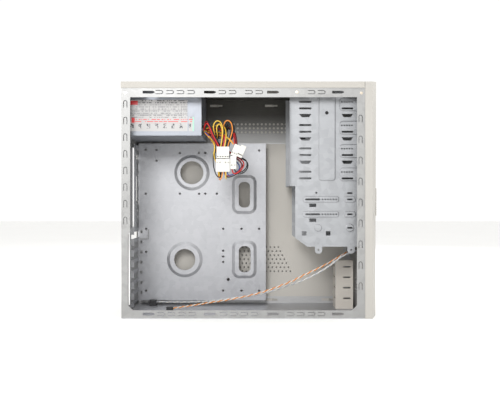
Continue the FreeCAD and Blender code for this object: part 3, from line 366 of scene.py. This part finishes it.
screw_plate = plated("screw_plate", (0.60, 0.52, 0.42), (0.80, 0.72, 0.60), 0.22)
guard_wire = plated("guard_wire", (0.66, 0.67, 0.68), (0.82, 0.83, 0.84), 0.12)


TRACK_PITCH = 0.0038


def board_finish():
    """Green laminate with pale tracks on a square grid."""
    board = Finish("circuit_board", Roughness=0.35)
    x, y, z = board.axes()
    across = ((y / TRACK_PITCH).fraction() < 0.22) * (board.noise(70.0, 0.0) > 0.5)
    along = ((z / TRACK_PITCH).fraction() < 0.22) * (board.noise(80.0, 0.0) > 0.52)
    tracks = (across + along).clamp()
    return board.shape(Base_Color=board.blend(tracks, (0.02, 0.13, 0.05), (0.07, 0.28, 0.12))).material


def component_finish():
    """Dark shrink sleeve and lacquered windings, in bands."""
    part = Finish("supply_component", Roughness=0.3)
    x, y, z = part.axes()
    band = (z / 0.0022).fraction() < 0.5
    return part.shape(Base_Color=part.blend(band * part.noise(30.0), (0.02, 0.03, 0.08),
                                            (0.30, 0.18, 0.06))).material


circuit_board = board_finish()
supply_component = component_finish()
print("metal and board finishes made")

# %% [markdown]
# The supply carries a white rating sticker: a printed table above, one red line, and a
# row of small marks at the foot.  Nothing on it may be read, so the print is made of
# dashes only.  Each zone is placed by its share of the sticker's height and length, and
# a hash of the row and column decides where a dash is.  The same node holds a narrow
# green label and the round sticker on the fan's hub, so their colours are added last.


# %% Printed sticker
LABELS_LOW, LABELS_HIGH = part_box("supply_labels")
STICKER_REAR = 0.218
STICKER_LONG = 0.104
LINES = 15.0
LETTERS = 62.0
HUB_STICKER = 0.015                                # radius of the round sticker on the fan's hub
FAN_HEIGHT = 0.372


def sticker_finish():
    """White paper with dashes, rules, red signs and a hub disc."""
    label = Finish("rating_sticker", Roughness=0.38)
    x, y, z = label.axes()
    up = (z - LABELS_LOW.z) / (LABELS_HIGH.z - LABELS_LOW.z)
    along = (STICKER_REAR - y) / STICKER_LONG
    row = (up * LINES).floor()
    column = (along * LETTERS).floor()
    spot = label.node("CombineXYZ", {}, {0: column, 1: row})
    hashed = label.node("TexWhiteNoise", {"noise_dimensions": "2D"}, {"Vector": spot}, "Value")
    line = ((up * LINES).fraction() > 0.38) * ((up * LINES).fraction() < 0.80)
    dashes = line * (hashed > 0.42)
    table_zone = (up > 0.40) * (up < 0.93)
    ruled = ((up * 7.5).fraction() < 0.09) + ((along * 9.0).fraction() < 0.035)
    ruled = (ruled * (up > 0.44) * (up < 0.80)).clamp()
    marks = label.noise(420.0, 0.0) > 0.52
    marks = marks * (up > 0.09) * (up < 0.24) * ((along * 7.0).fraction() < 0.42)
    red_line = dashes * (up > 0.25) * (up < 0.40) * (along > 0.06)
    title = dashes * (up > 0.86) * (along > 0.2)
    ink = (dashes * table_zone * 0.6 + title + ruled * 0.6 + marks).clamp()
    paper = label.blend(label.noise(25.0), (0.41, 0.402, 0.398), (0.47, 0.462, 0.458))
    printed = label.blend(ink, paper, (0.05, 0.05, 0.06))
    signs = (up > 0.84) * (up < 0.97) * (along < 0.13)
    signs = (signs + (up > 0.27) * (up < 0.43) * (along > 0.02) * (along < 0.075)).clamp()
    printed = label.blend((red_line * 0.9 + signs).clamp(), printed, (0.62, 0.035, 0.04))
    green_edge = (y < 0.1045) * (y > 0.0) * (up > -0.1)
    printed = label.blend((green_edge * 0.7).clamp(), printed, (0.25, 0.62, 0.45))
    aside = x - (LABELS_HIGH.x - HUB_STICKER)
    above = z - FAN_HEIGHT
    out = (aside * aside + above * above).math("SQRT")
    hub = label.blend(out < 0.0085, (0.80, 0.79, 0.77), (0.62, 0.05, 0.04))
    hub = label.blend((out > 0.0103) * (out < 0.0112), hub, (0.18, 0.18, 0.2))
    printed = label.blend(y > STICKER_REAR + 0.002, printed, hub)
    return label.shape(Base_Color=printed).material


rating_sticker = sticker_finish()
print("sticker made for labels up to", [round(v, 4) for v in LABELS_HIGH])

# %% [markdown]
# Each CAD node now takes its finish.  A node keeps its mesh, and only its material slots
# change, so one short function serves them all.


# %% Give every CAD node its finish
def coat(material, *names):
    """Make one material the only one on each named node."""
    for name in names:
        slots = nodes[name].data.materials
        slots.clear()
        slots.append(material)


bays = [f"large_bay_cover_{number}" for number in range(1, 5)]
bays += [f"small_bay_cover_{number}" for number in range(1, 3)]
coat(frame_zinc, "side_frame_left", "rear_panel", "front_panel", "slot_covers",
     "tray_clip")
coat(roof_shade_zinc, "top_frame")
coat(far_zinc, "side_frame_right")
coat(cage_zinc, "large_drive_cage", "small_drive_cage")
coat(tray_zinc, "motherboard_tray", "tray_rear_plate", "bottom_pan")
coat(supply_zinc, "supply_base", "supply_lid", "supply_heatsinks")
coat(shield_zinc, "io_shield")
coat(cover_paint, "top_cover", "left_cover")
coat(right_paint, "right_cover")
coat(bezel_plastic, "front_bezel")
coat(bay_plastic, *bays)
coat(ivory, "card_guide")
coat(black_plastic, "fan_frame", "fan_rotor", "switch_housing", "rocker_switch", "power_inlet",
     "harness_grommet", "power_lead_plug", "disk_lead_plug", "lead_socket")
coat(red_plastic, "selector_housing", "voltage_selector")
coat(plug_nylon, "harness_plugs")
coat(guard_wire, "fan_grille")
coat(screw_plate, "chassis_screws", "supply_screws", "right_thumb_screws", "left_thumb_screws",
     "top_cover_screws")
coat(circuit_board, "supply_board", "switch_board")
coat(supply_component, "supply_components")
coat(rating_sticker, "supply_labels")
coat(button_blue, "power_button", "reset_button")
coat(badge_grey, "badge")
print(len(bays), "bay covers and the rest of the case coated")

# %% [markdown]
# Two things are left: the pair of small front lamps and the floor.  The lamps are one
# node with two lenses, so the height decides which lens is green and which is red.

# %% Lamp lenses and floor
LENS_SPLIT = 0.125


def lens_finish():
    """Two tinted lenses: green above, red below."""
    tint = Finish("lamp_lens", Roughness=0.12, Coat_Weight=0.6)
    x, y, z = tint.axes()
    speck = tint.noise(600.0)
    colour = tint.blend(z > LENS_SPLIT, (0.62, 0.03, 0.02), (0.05, 0.42, 0.10))
    return tint.shape(Base_Color=tint.blend(speck * 0.2, colour, (0.8, 0.8, 0.75))).material


def floor_finish():
    """A pale studio floor with the faintest mottling."""
    paper = Finish("studio_paper", Roughness=0.7)
    return paper.shape(Base_Color=paper.blend(paper.noise(3.0), (0.86, 0.86, 0.85), (0.89, 0.89, 0.88)))


coat(lens_finish(), "front_lamps")
floor.data.materials.append(floor_finish().material)
print(len(nodes), "CAD nodes coated")

# %% [markdown]
# Small solids are all made the same way: a primitive is set to its size, cut or bevelled
# with modifiers that are applied at once, and its place is put into its mesh.  These
# helpers keep each of those steps to one line.


# %% Helpers for small solids
def apply_modifier(piece, kind, **settings):
    """Add one modifier, set it up and apply it."""
    deselect()
    bpy.context.view_layer.objects.active = piece
    piece.select_set(True)
    modifier = piece.modifiers.new(kind.lower(), kind)
    for name, value in settings.items():
        setattr(modifier, name, value)
    bpy.ops.object.modifier_apply(modifier=modifier.name)
    return piece


def settle(piece):
    """Put a piece's place, turn and size into its mesh."""
    deselect()
    bpy.context.view_layer.objects.active = piece
    piece.select_set(True)
    bpy.ops.object.transform_apply(location=True, rotation=True, scale=True)
    return piece


def block(low, high, name="block"):
    """A box between two corners in millimetres."""
    deselect()
    centre = [(a + b) / 2 * MM for a, b in zip(low, high)]
    bpy.ops.mesh.primitive_cube_add(size=1.0, location=centre)
    piece = bpy.context.object
    piece.name = name
    piece.scale = [(b - a) * MM for a, b in zip(low, high)]
    return settle(piece)


def disc(radius, low, high, sides=32, name="disc"):
    """A cylinder about the Z axis, sizes in millimetres."""
    deselect()
    bpy.ops.mesh.primitive_cylinder_add(vertices=sides, radius=radius * MM, depth=(high - low) * MM,
                                        location=(0, 0, (low + high) / 2 * MM))
    bpy.context.object.name = name
    return settle(bpy.context.object)


def soften(piece, width, segments=2):
    """Round every sharp edge by a width in millimetres."""
    return apply_modifier(piece, "BEVEL", width=width * MM, segments=segments, limit_method="ANGLE")


def carve(piece, tool):
    """Take a tool's shape out of a piece."""
    apply_modifier(piece, "BOOLEAN", operation="DIFFERENCE", solver="EXACT", object=tool)
    bpy.data.objects.remove(tool)
    return piece


def together(*pieces):
    """Join pieces into the first one."""
    deselect()
    for piece in pieces:
        piece.select_set(True)
    bpy.context.view_layer.objects.active = pieces[0]
    bpy.ops.object.join()
    return pieces[0]


def placed(pattern, name, matrix):
    """A copy of a pattern with a mesh of its own, moved by a matrix."""
    piece = pattern.copy()
    piece.data = pattern.data.copy()
    piece.name = name
    piece.data.transform(matrix)
    bpy.context.scene.collection.objects.link(piece)
    return piece


def install(piece, finish, body, slot, *hidden):
    """Give a piece its finish and its body, and hide the CAD nodes that it stands for.  The slot is not
    used.
    """
    if finish:
        piece.data.materials.clear()
        piece.data.materials.append(finish)
    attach(piece, body)
    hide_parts(*hidden)
    return piece


print("helpers ready")

# %% [markdown]
# Two leads run from a socket behind the front panel down to the floor of the case.  Each
# is a pair of thin wires twisted together, so the route comes first, as one smooth
# spline, and two strands then wind round the points read from it.  The control points
# repeat the routes of the CAD model.

# %% Routes of the front leads
POWER_LEAD = [(-30, -198, 118), (-33, -177, 113), (-33, -155, 98), (-29, -130, 84), (-28, -104, 72),
              (-31, -78, 59), (-32, -52, 49), (-29, -27, 39.5), (-22, 1, 31), (-16, 40, 22.5),
              (-11, 80, 16), (-6, 118, 9), (-1, 147, 4.3)]
DISK_LEAD = [(-42, -198, 118), (-45, -176, 112), (-43, -150, 91), (-38, -133, 78.6), (-30, -100, 60.4),
             (-20, -70, 49), (-5, -30, 33.6), (8, 1, 26.8), (20, 32, 21.1), (33, 79, 13),
             (43, 118, 10), (51, 155, 8.6), (58, 186, 8.9)]
print("two routes of", len(POWER_LEAD), "and", len(DISK_LEAD), "points")


# %% Wire insulation
def insulation(name, low, high):
    """Soft wire insulation: a little gloss, with handling marks."""
    return moulded(name, low, high, rough=0.30, scale=700.0, depth=0.00003)


wire_red = insulation("wire_red", (0.42, 0.010, 0.012), (0.58, 0.025, 0.02))
wire_dark_red = insulation("wire_dark_red", (0.16, 0.008, 0.012), (0.27, 0.015, 0.02))
wire_black = insulation("wire_black", (0.006, 0.006, 0.007), (0.02, 0.02, 0.022))
wire_yellow = insulation("wire_yellow", (0.66, 0.40, 0.03), (0.80, 0.54, 0.08))
wire_orange = insulation("wire_orange", (0.66, 0.20, 0.02), (0.78, 0.30, 0.05))
wire_blue = insulation("wire_blue", (0.02, 0.05, 0.20), (0.05, 0.10, 0.32))
wire_grey = insulation("wire_grey", (0.38, 0.40, 0.44), (0.50, 0.52, 0.56))
wire_white = insulation("wire_white", (0.62, 0.60, 0.55), (0.76, 0.74, 0.69))
print("eight insulation colours made")


# %% Curves and twisted pairs
def spline(name, points, radius=0.0, order=3, scale=MM):
    """A curve of one open NURBS spline, bevelled to a round section if it has a radius."""
    line = bpy.data.curves.new(name, "CURVE")
    line.dimensions = "3D"
    run = line.splines.new("NURBS")
    run.points.add(len(points) - 1)
    for spot, point in zip(run.points, points):
        spot.co = (*(Vector(point) * scale), 1.0)
    run.order_u = order
    run.use_endpoint_u = True
    line.resolution_u = 20
    line.bevel_depth = radius
    line.bevel_resolution = 2
    line.use_fill_caps = radius > 0
    piece = bpy.data.objects.new(name, line)
    bpy.context.scene.collection.objects.link(piece)
    return piece


def along(curve):
    """The points that a curve passes through."""
    depsgraph = bpy.context.evaluated_depsgraph_get()
    mesh = bpy.data.meshes.new_from_object(curve.evaluated_get(depsgraph))
    return [vertex.co.copy() for vertex in mesh.vertices]


def run_length(points):
    """The length of a run of points."""
    return sum((b - a).length for a, b in zip(points, points[1:]))


def twisted_pair(name, points, wire, pitch, finishes):
    """Two wires wound round a route, as one mesh, and the route's points."""
    guide = spline(name + "_route", points)
    path = along(guide)
    bpy.data.objects.remove(guide)
    strands = []
    for number, finish in enumerate(finishes):
        travelled, turns = 0.0, []
        for index, point in enumerate(path):
            ahead, behind = path[min(index + 1, len(path) - 1)], path[max(index - 1, 0)]
            travelled += (point - behind).length if index else 0.0
            forward = (ahead - behind).normalized()
            side = forward.cross(Vector((0, 0, 1))).normalized()
            up = side.cross(forward)
            angle = travelled / pitch * math.tau + number * math.pi
            turns.append(point + (side * math.cos(angle) + up * math.sin(angle)) * wire / 2)
        strand = spline(f"{name}_{number}", turns, wire / 2, scale=1.0)
        strand.data.resolution_u = 2
        strand.data.materials.append(finish)
        deselect()
        strand.select_set(True)
        bpy.context.view_layer.objects.active = strand
        bpy.ops.object.convert(target="MESH")
        strands.append(bpy.context.object)
    piece = together(*strands)
    piece.name = name
    return piece, path


print("curve helpers ready")


# %% Front leads and their plugs
def header_plug(node):
    """A thin crimp housing over a CAD plug: bevelled, with two windows and a mating face."""
    low, high = (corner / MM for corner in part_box(node))
    housing = soften(block(low, high, node + "_housing"), 0.5)
    width = high.x - low.x
    for share in (0.28, 0.72):
        x = low.x + width * share
        carve(housing, block((x - 0.9, low.y + 3.0, high.z - 1.0), (x + 0.9, low.y + 6.5, high.z + 1)))
        carve(housing, block((x - 0.8, high.y - 5.0, low.z + 2.2), (x + 0.8, high.y + 1, high.z - 2.2)))
    return install(housing, black_plastic, "chassis", "black_plastic", node)


power_plug = header_plug("power_lead_plug")
disk_plug = header_plug("disk_lead_plug")
LEAD_WIRE = 0.0018
TWIST = 0.015
for title, node, points, finishes, plug in (
        ("power_lead_pair", "power_lead", POWER_LEAD, (wire_orange, wire_white), power_plug),
        ("disk_lead_pair", "disk_lead", DISK_LEAD, (wire_white, wire_grey), disk_plug)):
    lead, path = twisted_pair(title, points, LEAD_WIRE, TWIST, finishes)
    install(lead, None, "chassis", "wire", node)
    run_length(path)
    print(title, "is", round(run_length(path), 3), "m long")

# %% [markdown]
# The supply's output wires come out of a grommet in its front wall.  They rise, fall in
# open loops and gather at a waist, and below it they end in a cluster of white plugs.
# The plugs come first, as moulded housings with rows of windows, a latch and ribs, and
# then every wire has its own route from the grommet to a pin.


# %% Harness plugs
def nylon_plug(name, low, high, windows, row, tilt=0.0):
    """A white housing whose open side shows a row of contact windows."""
    housing = soften(block(low, high, name), 0.7)
    wide, tall = high[1] - low[1], high[2] - low[2]
    for number in range(windows):
        y = low[1] + wide * (number + 0.5) / windows
        z = low[2] + tall * row
        carve(housing, block((low[0] - 1, y - 1.1, z - 1.2), (low[0] + 3.5, y + 1.1, z + 1.2)))
        carve(housing, block((low[0] + 1.5, y - 1.2, low[2] - 1), (high[0] - 1.5, y + 1.2, low[2] + 4)))
    latch = soften(block((low[0] - 0.9, low[1] + wide * 0.36, low[2] + tall * 0.55),
                         (low[0] + 0.2, low[1] + wide * 0.64, high[2] - 1.5)), 0.3)
    rib = soften(block((low[0] - 0.5, low[1], low[2] + tall * 0.46),
                       (low[0] + 0.2, high[1], low[2] + tall * 0.50)), 0.15)
    plug = together(housing, latch, rib)
    middle = Vector([(a + b) / 2 * MM for a, b in zip(low, high)])
    turn = Matrix.Translation(middle) @ Matrix.Rotation(math.radians(tilt), 4, "X")
    plug.data.transform(turn @ Matrix.Translation(-middle))
    return install(plug, plug_nylon, "chassis", "ivory_plastic", "harness_plugs")


main_plug = nylon_plug("main_plug", (-68, 38, 288), (-58, 61, 309), 5, 0.14)
second_plug = nylon_plug("second_plug", (-67.6, 37, 263), (-58, 62.5, 286.6), 5, 0.72)
drive_plug = nylon_plug("drive_plug", (-67.4, 25, 268), (-59, 36, 292), 2, 0.3)
upper_drive_plug = nylon_plug("upper_drive_plug", (-66.4, 20, 291), (-57.4, 32, 313), 3, 0.25, 24)
rear_drive_plug = nylon_plug("rear_drive_plug", (-65.4, 10.5, 289), (-56.4, 20.5, 312), 4, 0.22, 24)
print("five plugs made")

# %% [markdown]
# Each wire is written as its colour, its plug and its route in millimetres.  Four groups
# read from rear to front: the wires that drop straight from the grommet, the tall open
# loops, the wires through the middle, and those that pass behind the plugs and enter
# from below.  Thirteen more black wires follow some of these a little way behind them.

# %% Harness wires
WIRE = 2.1
HARNESS = [
    (wire_dark_red, main_plug, [(-54, 85, 341), (-57, 84, 351), (-60, 80.5, 357), (-62, 76, 351),
                                (-63, 72, 334), (-64, 66, 320), (-64, 59, 309)]),
    (wire_black, main_plug, [(-52, 85, 342), (-54, 83, 352), (-57, 77, 358), (-60, 71.5, 352),
                             (-61, 68, 336), (-61, 62, 322), (-61, 56, 309)]),
    (wire_red, main_plug, [(-56, 85, 339), (-60, 84, 347), (-64, 79, 353), (-65.5, 74, 346),
                           (-65.5, 68, 330), (-65, 62, 319), (-65, 56.5, 309)]),
    (wire_black, main_plug, [(-54, 85, 343), (-56, 81, 351), (-58, 75.5, 355), (-59, 71, 346),
                             (-60, 66, 331), (-60, 59.5, 320), (-61, 53.5, 309)]),
    (wire_yellow, main_plug, [(-54, 85, 338), (-46, 76, 330), (-45, 66, 324), (-53, 64, 330),
                              (-61, 67, 340), (-64, 67, 350), (-64, 61, 357.5), (-64, 53, 354),
                              (-64, 49.5, 342), (-65, 50.5, 326), (-65, 53.5, 309)]),
    (wire_yellow, main_plug, [(-53, 84, 337), (-45, 74, 330), (-43, 63, 324), (-51, 59, 330),
                              (-60, 61.5, 338), (-62, 61, 347), (-62, 56.5, 352), (-61, 52, 346),
                              (-61, 50.5, 334), (-61, 52, 321), (-61, 51, 309)]),
    (wire_orange, main_plug, [(-52, 85, 340), (-43, 74, 333), (-40, 60, 330), (-48, 51, 337),
                              (-58, 49, 348), (-61, 45, 357), (-61, 38, 357.5), (-61, 33, 350),
                              (-61, 32, 337), (-62, 37, 323), (-63, 41, 309)]),
    (wire_black, main_plug, [(-55, 84, 340), (-45, 70, 336), (-42, 56, 336), (-50, 47, 343),
                             (-56, 44, 352), (-58, 39, 358), (-58, 33, 355), (-58, 30, 344),
                             (-59, 32, 331), (-61, 39, 320), (-61, 46, 309)]),
    (wire_black, main_plug, [(-51, 84, 339), (-42, 70, 331), (-40, 54, 328), (-47, 46, 336),
                             (-55, 42, 347), (-57, 37.5, 351), (-58, 34.5, 344), (-59, 36, 330),
                             (-62, 41, 319), (-65, 43.5, 309)]),
    (wire_yellow, main_plug, [(-54, 84, 342), (-48, 72, 347), (-47, 58, 351), (-54, 48, 348),
                              (-60, 44, 338), (-64, 43.5, 324), (-65, 46.5, 309)]),
    (wire_red, main_plug, [(-53, 84, 338), (-46, 72, 341), (-47, 60, 345), (-56, 52, 339),
                           (-63, 47, 329), (-66, 47, 318), (-65, 49.5, 309)]),
    (wire_dark_red, upper_drive_plug, [(-53, 85, 341), (-43, 68, 342), (-39, 50, 346), (-44, 36, 346),
                                       (-53, 29, 338), (-59, 26, 326), (-62, 25, 313)]),
    (wire_red, upper_drive_plug, [(-52, 84, 342), (-43, 67, 345), (-40, 49, 349), (-47, 35, 345),
                                  (-56, 29.5, 336), (-61, 29.5, 324), (-63, 28, 314)]),
    (wire_orange, upper_drive_plug, [(-52, 84, 338), (-45, 70, 334), (-45, 55, 331), (-55, 45, 328),
                                     (-64, 38, 323), (-65, 33, 319), (-64, 30.5, 313)]),
    (wire_yellow, upper_drive_plug, [(-55, 84, 339), (-46, 72, 338), (-44, 57, 337), (-53, 47, 333),
                                     (-62, 41, 325), (-65, 36.5, 321), (-62, 31, 314)]),
    (wire_yellow, second_plug, [(-53, 84, 337), (-50, 76, 330), (-56, 70, 322), (-63, 65, 314),
                                (-66, 64.5, 304), (-66, 66.5, 296), (-61, 65, 287), (-55, 61, 278),
                                (-54, 57, 266), (-57, 55, 256), (-62, 56, 255), (-64, 57.5, 263)]),
    (wire_black, second_plug, [(-52, 84, 336), (-49, 74, 326), (-56, 67, 317), (-64, 63, 309),
                               (-66, 66.5, 299), (-63, 67.5, 288), (-63, 67, 273), (-63, 63, 259),
                               (-62, 57.5, 252), (-62, 53, 255), (-62, 52.5, 263)]),
    (wire_black, drive_plug, [(-51, 84, 338), (-44, 64, 322), (-45, 42, 304), (-47, 24, 292),
                              (-56, 12, 288), (-61, 6, 283), (-61, 5, 275), (-61, 9, 267),
                              (-61, 17, 262), (-61, 26, 261), (-62, 28.5, 268)]),
    (wire_red, drive_plug, [(-52, 83, 337), (-45, 62, 320), (-46, 40, 302), (-48, 22, 290),
                            (-56, 11.5, 282), (-61, 11, 274), (-62, 17, 265.5), (-62, 26, 259),
                            (-63, 32, 261), (-63, 33, 268)]),
    (wire_dark_red, second_plug, [(-53, 83, 338), (-46, 60, 318), (-46, 38, 298), (-50, 18, 284),
                                  (-58, 14, 275), (-61, 20, 265), (-61, 30, 259), (-61, 39, 255.5),
                                  (-62, 46, 256), (-62, 47, 263)]),
    (wire_blue, second_plug, [(-54, 83, 337), (-47, 62, 316), (-46, 42, 296), (-49, 22, 280),
                              (-57, 18, 270), (-61, 25, 262), (-61, 34, 257), (-62, 41, 257),
                              (-62, 41.5, 263)]),
    (wire_orange, second_plug, [(-54, 84, 336), (-48, 70, 322), (-46, 60, 300), (-47, 59, 270),
                                (-54, 58, 253), (-60, 55, 247.5), (-64, 51.5, 253), (-64, 50, 263)]),
    (wire_yellow, second_plug, [(-52, 83, 336), (-47, 64, 318), (-45, 48, 292), (-46, 45, 270),
                                (-54, 44, 254), (-60, 44, 249), (-64, 44.5, 255), (-64, 44.5, 263)]),
]
BEHIND = Vector((3.0, -1.6, -2.2))
PAIRED = (0, 2, 4, 5, 6, 7, 8, 9, 11, 12, 15, 17, 19)
HARNESS += [(wire_black, HARNESS[index][1], [Vector(point) + BEHIND for point in HARNESS[index][2]])
            for index in PAIRED]
for number, (finish, plug, points) in enumerate(HARNESS, 1):
    wire = spline(f"harness_wire_{number}", points, WIRE / 2 * MM)
    centreline = spline("centreline", points)
    path = along(centreline)
    bpy.data.objects.remove(centreline)
    install(wire, finish, "chassis", "wire", "harness_bundle")
    run_length(path)
print(len(HARNESS), "wires laid")

# %% [markdown]
# The screws come in two kinds.  The thumb screws have a knurled head on a washer face,
# and the others are pan heads.  Both have a cross recess.  One of each is modelled about
# the Z axis and copied to its places.


# %% Screws
def cross_recess(piece, top, reach, depth):
    """Cut a cross into the end of a screw head."""
    for across, deep in ((reach, reach * 0.22), (reach * 0.22, reach)):
        carve(piece, block((-across, -deep, top - depth), (across, deep, top + 1)))
    return piece


def thumb_screw():
    """Washer face, knurled head and shank, from z 0 outwards."""
    head = disc(4.6, 1.0, 5.4, 36)
    for face in head.data.polygons:
        face.select = abs(face.normal.z) < 0.5 and face.index % 2 == 0
    deselect()
    bpy.context.view_layer.objects.active = head
    head.select_set(True)
    bpy.ops.object.mode_set(mode="EDIT")
    bpy.ops.mesh.select_mode(type="FACE")
    bpy.ops.mesh.inset(thickness=0.12 * MM, depth=-0.4 * MM, use_individual=True)
    bpy.ops.object.mode_set(mode="OBJECT")
    cross_recess(head, 5.4, 2.4, 1.8)
    washer = soften(disc(5.2, 0.0, 1.0), 0.25)
    shank = disc(1.5, -3.0, 0.0, 20)
    return together(head, washer, shank)


def pan_head():
    """A unit pan head, 1 mm in radius and 1 mm high."""
    head = soften(disc(1.0, 0.0, 1.0, 40), 0.34, 4)
    return cross_recess(head, 1.0, 0.5, 0.45)


AWAY = Matrix.Rotation(math.radians(-90), 4, "X")      # turns +Z to +Y
OUT_LEFT = Matrix.Rotation(math.radians(-90), 4, "Y")  # turns +Z to -X
THUMB_HEIGHTS = (37.5, 206.1, 372.7)
COVER_BACK = 230.6
LEAN = math.radians(2.5)
COVER_LINE = 99.1                                      # how far out the leaning cover's top edge is
COVER_TALL = 411.2
LOW_SLOT = 21.3
SLOT_PITCH = 20.32
knurled = thumb_screw()
pan = pan_head()


def shift(x, y, z):
    """A move in millimetres."""
    return Matrix.Translation(Vector((x, y, z)) * MM)


def random_turn():
    """A screw's own turn, because no two stop alike."""
    return Matrix.Rotation(random.uniform(0, math.tau), 4, "Z")


random.seed(7)
right_x = (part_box("right_thumb_screws")[0].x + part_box("right_thumb_screws")[1].x) / 2 / MM
foot = COVER_LINE + COVER_TALL * math.sin(LEAN)
leaning = shift(foot, 0, -1.2 * math.cos(LEAN)) @ Matrix.Rotation(-LEAN, 4, "Y")
for number, z in enumerate(THUMB_HEIGHTS, 1):
    spot = shift(right_x, COVER_BACK, z) @ AWAY @ random_turn()
    install(placed(knurled, f"right_thumb_screw_{number}", spot), screw_plate, "right_cover",
            "screw_brass", "right_thumb_screws")
    spot = leaning @ shift(7.5, COVER_BACK, z) @ AWAY @ random_turn()
    install(placed(knurled, f"left_thumb_screw_{number}", spot), screw_plate, "left_cover",
            "screw_brass", "left_thumb_screws")

PAN_HEADS = [("slot_screw", "chassis_screws", "chassis", (78.2, 225.4, LOW_SLOT + SLOT_PITCH * n),
              2.7, 1.7, AWAY) for n in range(6)]
PAN_HEADS += [("frame_screw", "chassis_screws", "chassis", (-97.5, y, z), 2.6, 0.3, OUT_LEFT)
              for y, z in ((223.0, 402.6), (-199.0, 402.2), (-84.3, 404.0))]
PAN_HEADS += [("supply_screw", "supply_screws", "chassis", (x, y, z), r, h, AWAY)
              for x, y, z, r, h in ((-61, 229.6, 399, 3.6, 2.0), (-61, 229.6, 335, 3.6, 2.0),
                                    (74.6, 229.6, 335.7, 3.6, 2.0), (51, 228.6, 405, 3.2, 1.8))]
PAN_HEADS += [("roof_screw", "top_cover_screws", "top_cover", (x, COVER_BACK, 417.5), 3.4, 1.8, AWAY)
              for x in (-84.4, 82.6)]
for number, (title, node, body, place, radius, height, facing) in enumerate(PAN_HEADS, 1):
    sized = Matrix.Diagonal((radius, radius, height, 1.0))
    spot = shift(*place) @ facing @ random_turn() @ sized
    install(placed(pan, f"{title}_{number}", spot), screw_plate, body, "screw_brass", node)
bpy.data.objects.remove(knurled)
bpy.data.objects.remove(pan)
print(len(PAN_HEADS), "pan heads and", 2 * len(THUMB_HEIGHTS), "thumb screws")

# %% [markdown]
# The fan's rotor shows through the wire guard.  Its seven blades are thin, pitched and
# cupped, which flat boxes can't show.  One blade is bent from a grid, thickened and
# copied round the hub.


# %% Fan rotor
def fan_blade():
    """A cupped blade along +X, pitched about its own length, from hub to tip."""
    deselect()
    bpy.ops.mesh.primitive_grid_add(x_subdivisions=10, y_subdivisions=8, size=1.0)
    blade = bpy.context.object
    blade.scale = (21.5 * MM, 22.0 * MM, 1.0)
    settle(blade)
    apply_modifier(blade, "SIMPLE_DEFORM", deform_method="BEND", deform_axis="X",
                   angle=math.radians(38))
    apply_modifier(blade, "SIMPLE_DEFORM", deform_method="TWIST", deform_axis="X",
                   angle=math.radians(-16))
    apply_modifier(blade, "SOLIDIFY", thickness=1.2 * MM, offset=0.0)
    return soften(blade, 0.35)


rotor_low, rotor_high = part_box("fan_rotor")
BLADES = 7
BLADE_MIDDLE = 25.6
HUB_HALF = 9.0
ROTOR_X = -15.9
blade = fan_blade()
pitched = Matrix.Rotation(math.radians(40), 4, "X")
blades = []
for turn in range(BLADES):
    spin = Matrix.Rotation(math.tau * turn / BLADES, 4, "Z")
    blades.append(placed(blade, f"blade_{turn}", spin @ shift(BLADE_MIDDLE, 0, 0) @ pitched))
bpy.data.objects.remove(blade)
hub = soften(disc(16.0, -HUB_HALF, HUB_HALF, 48, "fan_rotor_moulding"), 1.4, 3)
axle = disc(2.0, HUB_HALF, 12.5, 20)
rotor = together(hub, axle, *blades)
middle_y = rotor_low.y / MM + HUB_HALF + 0.5
rotor.data.transform(shift(ROTOR_X, middle_y, FAN_HEIGHT / MM) @ AWAY)
install(rotor, black_plastic, "fan_rotor", "black_plastic", "fan_rotor")
print("rotor from", [round(v / MM, 1) for v in rotor_low], "to", [round(v / MM, 1) for v in rotor_high])
